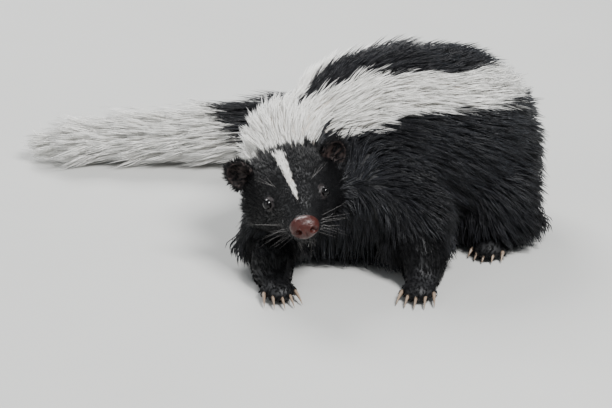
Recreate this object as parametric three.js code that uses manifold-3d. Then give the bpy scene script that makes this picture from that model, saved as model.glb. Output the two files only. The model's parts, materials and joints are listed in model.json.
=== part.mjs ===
// A young striped skunk, life size, in a low crouch: the head turned to the viewer, the back arched
// and curled to its right, and the long tail laid round behind it on the floor.
// Units are millimetres, +Z is up, the viewer looks along +Y and the animal's left is at +X.
import * as THREE from "three";
import { mergeVertices } from "three/addons/utils/BufferGeometryUtils.js";
import Module from "manifold-3d";

const wasm = await Module();
wasm.setup();

const V = (x, y, z) => new THREE.Vector3(x, y, z);

// Driving dimensions
const GAP = 0.35; // between touching pieces
const BODY_CELL = 14; // facet size on the dense core of the trunk
const TAIL_CELL = 9; // facet size on the tail, which is smooth out to the tips of its coat
const LEG_CELL = 9.5;
const HEAD_CELL = 4.7;
const EYE_RADIUS = 3.7;
const EYE_SPREAD = 18; // from the middle of the face to each eye
const EAR_WIDTH = 11;
const COAT = 15; // depth of the long coat from skin to hair tips
const CORE = -COAT / 2; // level of the dense core, which reaches half way to the tips
const LOCK_LENGTH = 54;
const LOCK_WIDTH = 29;
const LOCK_PITCH = 0.5; // from one ring of locks to the next, as a share of their length
const LOCK_THICKNESS = 2.6;
const LOCK_SHAPE = [0.8, 1, 0.85, 0.5]; // share of the full width from root to near the tip
const LOCK_SINK = 4.5; // how deep a lock's root goes into the core
const LOCK_RISE = 1; // how far a lock's tip stands out of the outline
const LOCK_CLEAR = 0.6; // between a lock and a leg
const LOCK_CLEAR_AT_ROOT = 4;
const LOCK_SEED = 31;
const SLIM = { share: 1.35, base: 5 }; // a lock is at most base + share * the core's radius wide
const DROOP = 0.55; // how far the coat of the flanks leans from the spine's direction to the floor
const LEG_SHARE = 0.8; // of the elbow's or knee's coat that is the leg itself
const TOE_RADIUS = 4.3;
const FORE_CLAW = 13;
const HIND_CLAW = 7;

// Head frame: the point between the eyes, with the directions forward, left and up of the head
const HEAD_YAW = THREE.MathUtils.degToRad(7.5);
const HEAD_ROLL = THREE.MathUtils.degToRad(10.5);
const BETWEEN_EYES = V(-2.5, 11, 63.5);
const headTurn = new THREE.Quaternion()
  .setFromAxisAngle(V(0, 0, 1), HEAD_YAW)
  .premultiply(
    new THREE.Quaternion().setFromAxisAngle(
      V(Math.sin(HEAD_YAW), -Math.cos(HEAD_YAW), 0),
      HEAD_ROLL,
    ),
  );
const FORWARD = V(0, -1, 0).applyQuaternion(headTurn);
const LEFT = V(1, 0, 0).applyQuaternion(headTurn);
const UP = V(0, 0, 1).applyQuaternion(headTurn);

// A point given in the head frame: millimetres forward, to the left and up.
function onHead(forward, left, up) {
  return BETWEEN_EYES.clone()
    .addScaledVector(FORWARD, forward)
    .addScaledVector(LEFT, left)
    .addScaledVector(UP, up);
}

// The outline of the coat along the spine: the centre of each round station and its radius
const SPINE = [
  { at: V(-6, 76, 72), r: 33 }, // nape
  { at: V(33, 101, 76), r: 46 }, // withers
  { at: V(62, 104, 75), r: 55 }, // back
  { at: V(93, 116, 66), r: 58 }, // loin
  { at: V(104, 138, 59), r: 53 }, // hips
  { at: V(101, 164, 52), r: 36 }, // rump
];
const TAIL = [
  { at: V(98, 182, 47), r: 28 },
  { at: V(78, 208, 37), r: 29 },
  { at: V(40, 227, 29), r: 28 },
  { at: V(-5, 233, 24), r: 25 },
  { at: V(-55, 234, 21), r: 22 },
  { at: V(-105, 234, 18), r: 19 },
  { at: V(-145, 234, 15), r: 17 },
  { at: V(-168, 234, 13), r: 13 },
];

// Each leg from the shoulder or hip to the elbow or knee, which the coat of the torso covers, then
// to the wrist or ankle, and the heel and toe line of the foot
const LEGS = {
  foreleg_left: {
    bones: [
      { at: V(50, 66, 56), r: 36 },
      { at: V(73, 42, 37), r: 27 },
      { at: V(80, 18, 17), r: 14 },
    ],
    heel: V(80, 14, 8),
    toe: V(76, -10, 6),
    pawWidth: 24,
    claw: FORE_CLAW,
  },
  foreleg_right: {
    bones: [
      { at: V(-2, 72, 52), r: 30 },
      { at: V(-20, 48, 27), r: 21 },
      { at: V(-18, 18, 16), r: 13.5 },
    ],
    heel: V(-18, 14, 8),
    toe: V(-13, -10, 6),
    pawWidth: 24,
    claw: FORE_CLAW,
  },
  hindleg_left: {
    bones: [
      { at: V(121, 116, 48), r: 40 },
      { at: V(129, 92, 32), r: 30 },
      { at: V(138, 104, 14), r: 14.5 },
    ],
    heel: V(138, 102, 9),
    toe: V(123, 61, 6),
    pawWidth: 24,
    claw: HIND_CLAW,
  },
  hindleg_right: {
    bones: [
      { at: V(78, 152, 48), r: 38 },
      { at: V(60, 144, 32), r: 28 },
      { at: V(57, 158, 14), r: 14.5 },
    ],
    heel: V(57, 157, 9),
    toe: V(43, 116, 6),
    pawWidth: 24,
    claw: HIND_CLAW,
  },
};

// Cut planes: a point on each and the direction towards the tail
const HEAD_CUT = { at: onHead(-44, 0, 0), along: FORWARD.clone().negate() };
const NECK_CUT = { at: V(5, 79, 80), along: V(0.6, 0.45, -0.62).normalize() };
const TAIL_CUT = { at: V(100, 176, 49), along: V(-0.1, 1, -0.3).normalize() };
const TAIL_CUTS = [
  { at: V(34, 222, 29), along: V(-1, 0.28, 0).normalize() },
  { at: V(-78, 232, 20), along: V(-1, 0, 0) },
];

// Fields: negative inside, and close to the distance in millimetres

// The smaller of two distances with their join rounded over the width k.
function blend(a, b, k) {
  const h = Math.max(k - Math.abs(a - b), 0) / k;
  return Math.min(a, b) - (h * h * k) / 4;
}

// Distance to a cone with round ends from a, of radius ra, to b, of radius rb.
function taper(p, a, b, ra, rb) {
  const ab = b.clone().sub(a);
  const t = THREE.MathUtils.clamp(
    p.clone().sub(a).dot(ab) / ab.lengthSq(),
    0,
    1,
  );
  return p.distanceTo(a.clone().addScaledVector(ab, t)) - (ra + (rb - ra) * t);
}

// How far a point is past a cut plane, in the direction of the tail.
const pastPlane = (p, cut) => p.clone().sub(cut.at).dot(cut.along);

// Distance to a run of stations joined by tapers.
function chain(p, stations, k) {
  let d = Infinity;
  for (let i = 0; i + 1 < stations.length; i++) {
    const [a, b] = [stations[i], stations[i + 1]];
    d = blend(d, taper(p, a.at, b.at, a.r, b.r), k);
  }
  return d;
}

// Rounded masses of the head's outline, in the head frame
const MASSES = [
  { from: [-26, 0, -3], to: [-22, 0, -2], r: [28, 27] }, // skull
  { from: [-24, 13, -11], to: [-10, 11, -13], r: [20, 15] }, // left cheek
  { from: [-24, -13, -11], to: [-10, -11, -13], r: [20, 15] }, // right cheek
  { from: [-8, 0, -1], to: [2, 0, -3], r: [19.5, 16] }, // forehead
  { from: [2, 0, -7], to: [25, 0, -9.5], r: [15.5, 9.2] }, // muzzle
  { from: [26, 4, -12.5], to: [16, 7, -13], r: [5.6, 6.5] }, // left upper lip
  { from: [26, -4, -12.5], to: [16, -7, -13], r: [5.6, 6.5] }, // right upper lip
  { from: [-12, 0, -20], to: [20, 0, -19], r: [13, 5.6] }, // jaw and chin
].map((m) => ({ a: onHead(...m.from), b: onHead(...m.to), r: m.r }));
const EYES = [1, -1].map((side) => onHead(1.5, side * EYE_SPREAD, 0));

function headField(p) {
  let d = Infinity;
  for (const m of MASSES) d = blend(d, taper(p, m.a, m.b, ...m.r), 8);
  for (const eye of EYES)
    d = blend(d, p.distanceTo(eye) - (EYE_RADIUS + 1.7), 4);
  return d;
}

const NECK = [{ at: onHead(-36, 0, -8), r: 29 }, SPINE[0]];

const neckedHeadField = (p) => blend(headField(p), chain(p, NECK, 12), 12);

const CHEST = [
  { at: V(-4, 56, 46), r: 30 },
  { at: V(40, 58, 46), r: 33 },
];

// The trunk with the chest, shoulders and thighs and the root of the tail
function trunkField(p) {
  let d = blend(chain(p, SPINE, 10), chain(p, [SPINE[5], TAIL[0]], 1), 14);
  d = blend(d, chain(p, CHEST, 1), 16);
  for (const { bones } of Object.values(LEGS))
    d = blend(d, taper(p, bones[0].at, bones[1].at, bones[0].r, bones[1].r), 12);
  return d;
}

const bodyField = (p) => blend(trunkField(p), chain(p, NECK, 12), 10);

const tailField = (p) =>
  blend(chain(p, TAIL, 5), chain(p, SPINE.slice(4), 10), 14);

// Toes side by side across the front of a foot, as a centre line each
function toeLines(leg) {
  const ahead = leg.toe.clone().sub(leg.heel).setZ(0).normalize();
  const across = V(-ahead.y, ahead.x, 0);
  return [-2, -1, 0, 1, 2].map((i) => {
    const root = leg.toe
      .clone()
      .addScaledVector(across, (i * leg.pawWidth) / 5.4)
      .addScaledVector(ahead, -6 - Math.abs(i));
    const spread = ahead.clone().addScaledVector(across, i * 0.09).normalize();
    const tip = root.clone().addScaledVector(spread, 11 - i * i * 0.9);
    return { root, tip: tip.setZ(4.2), spread };
  });
}

// The lower leg, its top sunk in the torso, and the flat of the foot
function legField(p, leg) {
  const flat = (q) => V(q.x, q.y, (q.z - 1) * 1.5); // a foot is wider than it is high
  const foot = taper(flat(p), flat(leg.heel), flat(leg.toe), 10, 11.5) / 1.2;
  const [, joint, ankle] = leg.bones;
  const shin = taper(p, joint.at, ankle.at, joint.r * LEG_SHARE, ankle.r);
  return blend(blend(shin, taper(p, ankle.at, leg.heel, ankle.r, 10), 8), foot, 13);
}

function slope(field, p) {
  const e = 0.6;
  return V(
    field(V(p.x + e, p.y, p.z)) - field(V(p.x - e, p.y, p.z)),
    field(V(p.x, p.y + e, p.z)) - field(V(p.x, p.y - e, p.z)),
    field(V(p.x, p.y, p.z + e)) - field(V(p.x, p.y, p.z - e)),
  ).divideScalar(2 * e);
}

// Moves p along the field's slope to where the field has the given level.
function settle(field, p, level = 0, reach = 6) {
  for (let i = 0; i < 4; i++) {
    const n = slope(field, p);
    const move = THREE.MathUtils.clamp(
      (level - field(p)) / Math.max(n.lengthSq(), 0.2),
      -reach,
      reach,
    );
    p.addScaledVector(n, move);
  }
  return p;
}

// A closed mesh of where the field is below zero: one vertex in each grid cell that the surface
// crosses, set on the surface, and a quad round each grid edge that it crosses.
function meshOf(field, low, high, cell) {
  const n = [0, 1, 2].map((k) =>
    Math.ceil((high.getComponent(k) - low.getComponent(k)) / cell),
  );
  const at = (i, j, k) => V(low.x + i * cell, low.y + j * cell, low.z + k * cell);
  const stride = [1, n[0] + 1, (n[0] + 1) * (n[1] + 1)];
  const values = new Float64Array((n[0] + 1) * (n[1] + 1) * (n[2] + 1));
  const index = (i, j, k) => i + j * stride[1] + k * stride[2];
  const onEdge = (i, m) => i === 0 || i === n[m];
  for (let k = 0; k <= n[2]; k++)
    for (let j = 0; j <= n[1]; j++)
      for (let i = 0; i <= n[0]; i++) {
        const edge = onEdge(i, 0) || onEdge(j, 1) || onEdge(k, 2);
        const value = field(at(i, j, k));
        values[index(i, j, k)] = edge ? Math.max(value, cell / 2) : value;
      }

  // Where two corners across a grid face are inside and the other two outside, the sheets would
  // touch along an edge, so the outer two are counted as just inside.
  const just = -0.05 * cell;
  for (let plugged = true; plugged; ) {
    plugged = false;
    for (let c = 0; c + stride[1] + stride[2] < values.length; c++)
      for (let axis = 0; axis < 3; axis++) {
        const [s, t] = [stride[(axis + 1) % 3], stride[(axis + 2) % 3]];
        const [p, q] = [[c, c + s + t], [c + s, c + t]];
        const inside = (pair) => pair.every((x) => values[x] < 0);
        const outside = (pair) => pair.every((x) => values[x] >= 0);
        if (!(inside(p) && outside(q)) && !(inside(q) && outside(p))) continue;
        for (const x of [...p, ...q]) values[x] = Math.min(values[x], just);
        plugged = true;
      }
  }

  const corners = [0, 1, 2, 3, 4, 5, 6, 7].map((c) => [c & 1, (c >> 1) & 1, c >> 2]);
  const vertexOf = new Map();
  const positions = [];
  for (let k = 0; k < n[2]; k++)
    for (let j = 0; j < n[1]; j++)
      for (let i = 0; i < n[0]; i++) {
        const v = corners.map(([a, b, c]) => values[index(i + a, j + b, k + c)]);
        if (v.every((x) => x < 0) || v.every((x) => x >= 0)) continue;
        const sum = V(0, 0, 0);
        let count = 0;
        for (let a = 0; a < 8; a++)
          for (const bit of [1, 2, 4]) {
            const b = a | bit;
            if (b === a || v[a] < 0 === v[b] < 0) continue;
            const t = v[a] / (v[a] - v[b]);
            const [ca, cb] = [corners[a], corners[b]];
            sum.add(V(...ca.map((x, m) => x + (cb[m] - x) * t)));
            count++;
          }
        const p = sum.multiplyScalar(cell / count).add(at(i, j, k));
        const closing = [i, j, k].some((c, m) => c === 0 || c === n[m] - 1);
        if (!closing) settle(field, p, 0, cell * 0.2);
        vertexOf.set(index(i, j, k), positions.length / 3);
        positions.push(p.x, p.y, p.z);
      }

  const faces = [];
  for (let k = 0; k < n[2]; k++)
    for (let j = 0; j < n[1]; j++)
      for (let i = 0; i < n[0]; i++)
        for (let axis = 0; axis < 3; axis++) {
          const here = index(i, j, k);
          const inside = values[here] < 0;
          if (inside === values[here + stride[axis]] < 0) continue;
          const [s, t] = [stride[(axis + 1) % 3], stride[(axis + 2) % 3]];
          const quad = [here - s - t, here - t, here, here - s].map((c) =>
            vertexOf.get(c),
          );
          if (!inside) quad.reverse();
          faces.push(quad[0], quad[1], quad[2], quad[0], quad[2], quad[3]);
        }
  const g = new THREE.BufferGeometry();
  g.setAttribute("position", new THREE.Float32BufferAttribute(positions, 3));
  g.setIndex(faces);
  return g;
}

// Solids

// A manifold-3d solid of a closed geometry.
function solid(geometry) {
  const bare = geometry.clone();
  bare.deleteAttribute("normal");
  bare.deleteAttribute("uv");
  const merged = mergeVertices(bare, 1e-4);
  return new wasm.Manifold(
    new wasm.Mesh({
      numProp: 3,
      vertProperties: merged.getAttribute("position").array,
      triVerts: new Uint32Array(merged.index.array),
    }),
  );
}

function geometryOf(body) {
  const m = body.getMesh();
  const positions = new Float32Array(m.numVert * 3);
  for (let i = 0; i < m.numVert; i++)
    positions.set(
      m.vertProperties.subarray(i * m.numProp, i * m.numProp + 3),
      i * 3,
    );
  const g = new THREE.BufferGeometry();
  g.setAttribute("position", new THREE.BufferAttribute(positions, 3));
  g.setIndex(new THREE.BufferAttribute(new Uint32Array(m.triVerts), 1));
  return g;
}

// The largest closed piece of a solid.
function largest(body) {
  return body
    .decompose()
    .reduce((best, piece) => (piece.volume() > best.volume() ? piece : best));
}

// The geometry with each vertex moved out along its normal.
function grown(geometry, by) {
  const bare = geometry.clone();
  bare.deleteAttribute("normal");
  bare.deleteAttribute("uv");
  const g = mergeVertices(bare, 1e-4);
  g.computeVertexNormals();
  const p = g.getAttribute("position");
  const n = g.getAttribute("normal");
  for (let i = 0; i < p.count; i++)
    p.setXYZ(
      i,
      p.getX(i) + n.getX(i) * by,
      p.getY(i) + n.getY(i) * by,
      p.getZ(i) + n.getZ(i) * by,
    );
  return g;
}

// A large block on the far side of a plane, so that what it meets can be kept or taken away.
function beyond(cut, offset = 0) {
  const size = 600;
  const g = new THREE.BoxGeometry(size, size, size);
  g.applyQuaternion(
    new THREE.Quaternion().setFromUnitVectors(V(0, 0, 1), cut.along),
  );
  const centre = cut.at.clone().addScaledVector(cut.along, size / 2 + offset);
  g.translate(centre.x, centre.y, centre.z);
  return solid(g);
}

const FLOOR = { at: V(0, 0, 0), along: V(0, 0, 1) };
const aboveFloor = beyond(FLOOR);

// A flat tapered strip along points, each with the direction that faces out of the coat there.
// Its section is a flat diamond and its last point is its tip.
function strip(points, outs, width, thickness) {
  const positions = [];
  const faces = [];
  const last = points.length - 1;
  for (let i = 0; i < last; i++) {
    const along = points[Math.min(i + 1, last)]
      .clone()
      .sub(points[Math.max(i - 1, 0)])
      .normalize();
    const side = along.clone().cross(outs[i]).normalize();
    const out = side.clone().cross(along).normalize();
    const [w, t] = [(width * LOCK_SHAPE[i]) / 2, (thickness * (1 - (0.5 * i) / last)) / 2];
    for (const [a, b] of [[w, 0], [0, t], [-w, 0], [0, -t]]) {
      const q = points[i].clone().addScaledVector(side, a).addScaledVector(out, b);
      positions.push(q.x, q.y, q.z);
    }
  }
  positions.push(points[last].x, points[last].y, points[last].z);
  const tip = last * 4;
  for (let i = 0; i < last; i++)
    for (let k = 0; k < 4; k++) {
      const [a, b] = [i * 4 + k, i * 4 + ((k + 1) % 4)];
      if (i === last - 1) faces.push(a, tip, b);
      else faces.push(a, a + 4, b, b, a + 4, b + 4);
    }
  faces.push(0, 1, 2, 0, 2, 3);
  const g = new THREE.BufferGeometry();
  g.setAttribute("position", new THREE.Float32BufferAttribute(positions, 3));
  g.setIndex(faces);
  return g;
}

// Head, with its sockets, lids, mouth line and seats for the nose and ears

const HEAD_REACH = 62; // from between the eyes to the edge of the grid that the head is made on
const headLow = BETWEEN_EYES.clone().add(V(-HEAD_REACH, 10 - HEAD_REACH, -HEAD_REACH));
const headHigh = BETWEEN_EYES.clone().add(V(HEAD_REACH, 2 + HEAD_REACH, HEAD_REACH));

// Turns and moves a geometry made in the head frame, x forward, y left and z up, into place.
function placeOnHead(g, forward, left, up) {
  const turn = new THREE.Matrix4().makeBasis(FORWARD, LEFT, UP);
  const at = onHead(forward, left, up);
  return g.applyMatrix4(turn).translate(at.x, at.y, at.z);
}

function eyeGeometry(radius) {
  return new THREE.SphereGeometry(radius, 12, 8);
}

function makeNose() {
  const pad = (p) => {
    const q = V(p.x / 6.8, p.y / 9.6, (p.z - Math.abs(p.y) * 0.06) / 7.6);
    return (q.length() - 1) * 6.8;
  };
  const low = V(-12, -13, -12);
  let nose = solid(placeOnHead(meshOf(pad, low, V(12, 13, 12), 3.2), 31.5, 0, -8.5));
  for (const side of [1, -1]) {
    const nostril = new THREE.SphereGeometry(1, 8, 6);
    nostril.scale(3.4, 1.7, 2.0).rotateZ(side * 0.55);
    nose = nose.subtract(solid(placeOnHead(nostril, 36.4, side * 5.1, -9.3)));
  }
  const groove = new THREE.BoxGeometry(3, 0.9, 7);
  nose = nose.subtract(solid(placeOnHead(groove, 38.6, 0, -13)));
  return largest(nose);
}

// An ear's cup, and the room that it takes up with its hollow.
function makeEar(side) {
  const outer = new THREE.SphereGeometry(1, 10, 8);
  outer.scale(4.6, EAR_WIDTH, EAR_WIDTH + 1);
  const inner = new THREE.SphereGeometry(1, 10, 8);
  inner.scale(4.4, EAR_WIDTH - 2.2, EAR_WIDTH - 1.4).translate(2.9, 0, 0.4);
  const cup = solid(outer).subtract(solid(inner));
  const [placed, room] = [geometryOf(cup), outer].map((g) => {
    g.rotateY(-0.25).rotateZ(side * 0.35).rotateX(-side * 0.62);
    return placeOnHead(g, -30, side * 32, 11);
  });
  return { cup: placed, room: solid(grown(room, 2 * GAP)) };
}

const nose = makeNose();
const ears = { left: makeEar(1), right: makeEar(-1) };
const eyes = EYES.map((at) => eyeGeometry(EYE_RADIUS).translate(at.x, at.y, at.z));

const headForm = meshOf(neckedHeadField, headLow, headHigh, HEAD_CELL);
const headRoom = solid(grown(headForm, GAP)).subtract(beyond(HEAD_CUT, GAP / 2));

function makeHead() {
  let head = solid(headForm).subtract(beyond(HEAD_CUT, -GAP / 2));
  const inside = solid(grown(geometryOf(head), -1.9));

  // The mouth: a thin curved sheet seen from the side, kept only near the skin
  const upper = [V(-6, -14.5, 0), V(8, -17.6, 0), V(22, -16.9, 0), V(40, -15.4, 0)];
  const line = new THREE.Shape();
  upper.forEach((q, i) => (i ? line.lineTo(q.x, q.y) : line.moveTo(q.x, q.y)));
  [...upper].reverse().forEach((q) => line.lineTo(q.x, q.y - 1));
  line.closePath();
  const sheet = new THREE.ExtrudeGeometry(line, { depth: 60, bevelEnabled: false });
  sheet.translate(0, 0, -30).rotateX(Math.PI / 2);
  head = head.subtract(solid(placeOnHead(sheet, 0, 0, 0)).subtract(inside));

  EYES.forEach((at, i) => {
    const side = i ? -1 : 1;
    head = head.subtract(solid(grown(eyes[i], GAP)));
    // The opening between the lids, wider than it is high
    const opening = new THREE.SphereGeometry(1, 12, 8);
    opening.scale(6, 3.3, 2.9).rotateZ(side * 0.75);
    opening.translate(3.2, side * 3, 0);
    const turn = new THREE.Matrix4().makeBasis(FORWARD, LEFT, UP);
    opening.applyMatrix4(turn).translate(at.x, at.y, at.z);
    head = head.subtract(solid(opening));
  });
  return largest(head.subtract(solid(grown(geometryOf(nose), GAP))));
}

const head = makeHead();

// Claws and feet

// A curved pointed claw from the toe's tip, six-sided.
function clawGeometry(toe, length) {
  const steps = 2;
  const sides = 5;
  const root = toe.tip.clone().addScaledVector(toe.spread, 0.5);
  const positions = [];
  const faces = [];
  for (let i = 0; i < steps; i++) {
    const t = i / steps;
    const centre = root.clone().addScaledVector(toe.spread, length * t);
    centre.z = 5.2 - 3.4 * t * t;
    const r = 1.9 * (1 - 0.62 * t);
    const across = V(-toe.spread.y, toe.spread.x, 0);
    for (let k = 0; k < sides; k++) {
      const a = (k / sides) * 2 * Math.PI;
      const q = centre.clone().addScaledVector(across, 0.8 * r * Math.cos(a));
      positions.push(q.x, q.y, q.z + r * Math.sin(a));
    }
  }
  const tip = root.clone().addScaledVector(toe.spread, length);
  positions.push(tip.x, tip.y, 0.9);
  const end = steps * sides;
  for (let i = 0; i < steps; i++)
    for (let k = 0; k < sides; k++) {
      const [a, b] = [i * sides + k, i * sides + ((k + 1) % sides)];
      if (i === steps - 1) faces.push(a, b, end);
      else faces.push(a, b, a + sides, b, b + sides, a + sides);
    }
  for (let k = 1; k + 1 < sides; k++) faces.push(0, k + 1, k);
  const g = new THREE.BufferGeometry();
  g.setAttribute("position", new THREE.Float32BufferAttribute(positions, 3));
  g.setIndex(faces);
  return g;
}

function makeLeg(leg, claws) {
  const box = new THREE.Box3();
  for (const { at, r } of leg.bones.slice(1))
    box.union(new THREE.Box3().setFromCenterAndSize(at, V(1, 1, 1)).expandByScalar(r + 8));
  box.union(new THREE.Box3().setFromPoints([leg.heel, leg.toe]).expandByScalar(20));
  let body = solid(meshOf((p) => legField(p, leg), box.min, box.max, LEG_CELL));
  for (const toe of toeLines(leg)) {
    const length = toe.root.distanceTo(toe.tip);
    const form = new THREE.CapsuleGeometry(TOE_RADIUS, length, 1, 6);
    form.applyQuaternion(
      new THREE.Quaternion().setFromUnitVectors(
        V(0, 1, 0),
        toe.tip.clone().sub(toe.root).normalize(),
      ),
    );
    const middle = toe.root.clone().lerp(toe.tip, 0.5);
    body = body.add(solid(form.translate(middle.x, middle.y, middle.z)));
  }
  body = body.intersect(aboveFloor);
  for (const claw of claws) body = body.subtract(solid(grown(claw, GAP)));
  return largest(body);
}

const legs = {};
const claws = {};
for (const [name, leg] of Object.entries(LEGS)) {
  toeLines(leg).forEach((toe, i) => {
    claws[`${name}_claw_${i + 1}`] = clawGeometry(toe, leg.claw);
  });
  legs[name] = makeLeg(
    leg,
    Object.entries(claws)
      .filter(([key]) => key.startsWith(name))
      .map(([, g]) => g),
  );
}

// Neck, torso and tail

// Corners of the grids that the trunk and the tail are made on
const trunkLow = V(-60, 10, -8);
const trunkHigh = V(178, 215, 150);
const tailLow = V(-210, 120, -8);
const tailHigh = V(150, 275, 100);
const BELLY = { at: V(0, 0, 4), along: V(0, 0, 1) };

const formOf = (field, level, low, high, cell) =>
  solid(meshOf((p) => field(p) - level, low, high, cell));
const legRooms = Object.values(legs).map((leg) => solid(grown(geometryOf(leg), GAP)));
const earRooms = Object.values(ears).map((ear) => ear.room);

// The trunk is a dense core that its locks stand on, and the tail is smooth out to its tips
const trunkCore = formOf(bodyField, CORE, trunkLow, trunkHigh, BODY_CELL).intersect(
  beyond(BELLY),
);
const tailForm = formOf(tailField, 0, tailLow, tailHigh, TAIL_CELL).intersect(aboveFloor);
const after = (cut) => (body) => body.intersect(beyond(cut, GAP / 2));
const before = (cut) => (body) => body.subtract(beyond(cut, -GAP / 2));
const inCell = (body, cell) => cell.reduce((shape, part) => part(shape), body);
const NECK_CELL = [before(NECK_CUT)];
const TORSO_CELL = [after(NECK_CUT), before(TAIL_CUT)];
const TAIL_CELLS = {
  tail_base: [after(TAIL_CUT), before(TAIL_CUTS[0])],
  tail_middle: [after(TAIL_CUTS[0]), before(TAIL_CUTS[1])],
  tail_tip: [after(TAIL_CUTS[1])],
};

// Locks

// A repeatable source of numbers from 0 to 1.
function randomFrom(seed) {
  let state = seed;
  return () => {
    state = (state * 48271) % 2147483647;
    return state / 2147483647;
  };
}

const axis = new THREE.CatmullRomCurve3(
  [onHead(-34, 0, 4), ...SPINE.map((s) => s.at), ...TAIL.map((s) => s.at)],
  false,
  "centripetal",
);

// What the rings of locks run along: the spine's line, where the coat lies backwards, and the front
// of the chest, where it hangs down
const LOCK_AXES = [
  { curve: axis, lieAt: (tangent) => tangent, faces: (ray) => ray.z > -0.75 },
  {
    curve: new THREE.LineCurve3(V(-22, 58, 50), V(62, 58, 50)),
    lieAt: () => V(0.2, 0.25, -1),
    faces: (ray) => ray.y < -0.35 && ray.z > -0.6 && ray.z < 0.85,
  },
];

// The outermost point at the given level on a ray from the body's axis.
function outermost(field, from, direction, level) {
  let [near, far] = [0, 100];
  const at = (d) => from.clone().addScaledVector(direction, d);
  while (far > 0 && field(at(far)) > level) far -= 2;
  near = far;
  far += 2;
  for (let i = 0; i < 6; i++) {
    const middle = (near + far) / 2;
    if (field(at(middle)) > level) far = middle;
    else near = middle;
  }
  return at(near);
}

const closestLeg = (p) => Math.min(...Object.values(LEGS).map((leg) => legField(p, leg)));

// A lock's centre line from its root in the core to its tip on the outline, or null where there is
// no room for it, and the outward direction at each of its points.
function lockLine(root, tangent, length) {
  const steps = 4;
  const points = [];
  const outs = [];
  const p = root.clone();
  for (let i = 0; i <= steps; i++) {
    const share = i / steps;
    const level = i === 0 ? CORE - LOCK_SINK : CORE * (1 - share) ** 1.6 + LOCK_RISE;
    settle(bodyField, p, level, 12);
    const out = slope(bodyField, p).normalize();
    const down = V(0, 0, -1).addScaledVector(out, out.z).multiplyScalar(DROOP);
    const along = tangent.clone().addScaledVector(out, -tangent.dot(out)).normalize();
    const lie = along.add(down).normalize();
    const clear = i > 0 ? LOCK_THICKNESS + LOCK_CLEAR : LOCK_CLEAR_AT_ROOT;
    if (closestLeg(p) < clear || p.z < LOCK_THICKNESS + 1) {
      if (i < 3) return null;
      break;
    }
    points.push(p.clone());
    outs.push(out);
    p.addScaledVector(lie, length / steps);
  }
  return { points, outs };
}

// The locks of one length of the trunk, in staggered rings along each axis that has some there.
function locksOf(isInCell) {
  const random = randomFrom(LOCK_SEED);
  const locks = [];
  for (const { curve, lieAt, faces } of LOCK_AXES) {
    const rings = Math.round(curve.getLength() / (LOCK_LENGTH * LOCK_PITCH));
    for (let ring = 0; ring < rings; ring++) {
      const at = curve.getPointAt(ring / rings);
      const tangent = curve.getTangentAt(ring / rings);
      const side = tangent.clone().cross(V(0, 0, 1)).normalize();
      const up = side.clone().cross(tangent).normalize();
      const reach = outermost(bodyField, at, up, CORE).distanceTo(at);
      const widest = Math.min(LOCK_WIDTH, SLIM.share * reach + SLIM.base);
      const round = Math.max(5, Math.round((2 * Math.PI * reach) / widest));
      for (let k = 0; k < round; k++) {
        const turn = (k + (ring % 2) / 2 + 0.3 * (random() - 0.5)) / round;
        const ray = up.clone().applyAxisAngle(tangent, turn * 2 * Math.PI);
        const root = outermost(bodyField, at, ray, CORE);
        const [size, width] = [0.85 + 0.3 * random(), 0.85 + 0.3 * random()];
        if (!faces(ray) || !isInCell(root)) continue;
        const line = lockLine(root, lieAt(tangent), LOCK_LENGTH * size);
        if (!line) continue;
        const lock = strip(line.points, line.outs, widest * width, LOCK_THICKNESS);
        locks.push(solid(lock));
      }
    }
  }
  return locks;
}

// Whether a lock's root is well inside a length of the trunk, clear of its cuts.
const ROOT_TESTS = {
  neck: (p) => pastPlane(p, HEAD_CUT) > 3 && pastPlane(p, NECK_CUT) < -6,
  torso: (p) => pastPlane(p, NECK_CUT) > 3 && pastPlane(p, TAIL_CUT) < -8,
};

// A length of the trunk with its locks, with room for the legs, the head and the ears.
function lockedLength(name, cell) {
  let body = inCell(trunkCore, cell);
  for (const room of legRooms) body = body.subtract(room);
  body = body.subtract(headRoom);
  for (const lock of locksOf(ROOT_TESTS[name])) body = body.add(lock);
  body = inCell(body, cell).intersect(aboveFloor);
  for (const room of [headRoom, ...earRooms, ...legRooms]) body = body.subtract(room);
  return largest(body);
}

// A length of the tail, with room for the legs.
function smoothLength(cell) {
  let body = inCell(tailForm, cell);
  for (const room of legRooms) body = body.subtract(room);
  return largest(body);
}

const coated = {
  neck: lockedLength("neck", NECK_CELL),
  torso: lockedLength("torso", TORSO_CELL),
};
for (const [name, cell] of Object.entries(TAIL_CELLS)) coated[name] = smoothLength(cell);

// The scene graph

function finish(name, colour, roughness) {
  return new THREE.MeshStandardMaterial({ name, color: colour, roughness, metalness: 0 });
}
const BLACK_FUR = finish("black_fur", 0x16161a, 0.7);
const WHITE_FUR = finish("white_fur", 0xe6e2da, 0.75);
const NOSE_SKIN = finish("nose_skin", 0x7a3a33, 0.35);
const EYE = finish("eye", 0x0a0a0c, 0.08);
const CLAW = finish("claw", 0x8c7a66, 0.45);

const skunk = new THREE.Group();
skunk.name = "striped_skunk";

function add(name, geometry, material, parent = skunk) {
  const mesh = new THREE.Mesh(geometry, material);
  mesh.name = name;
  parent.add(mesh);
  return mesh;
}

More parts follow.
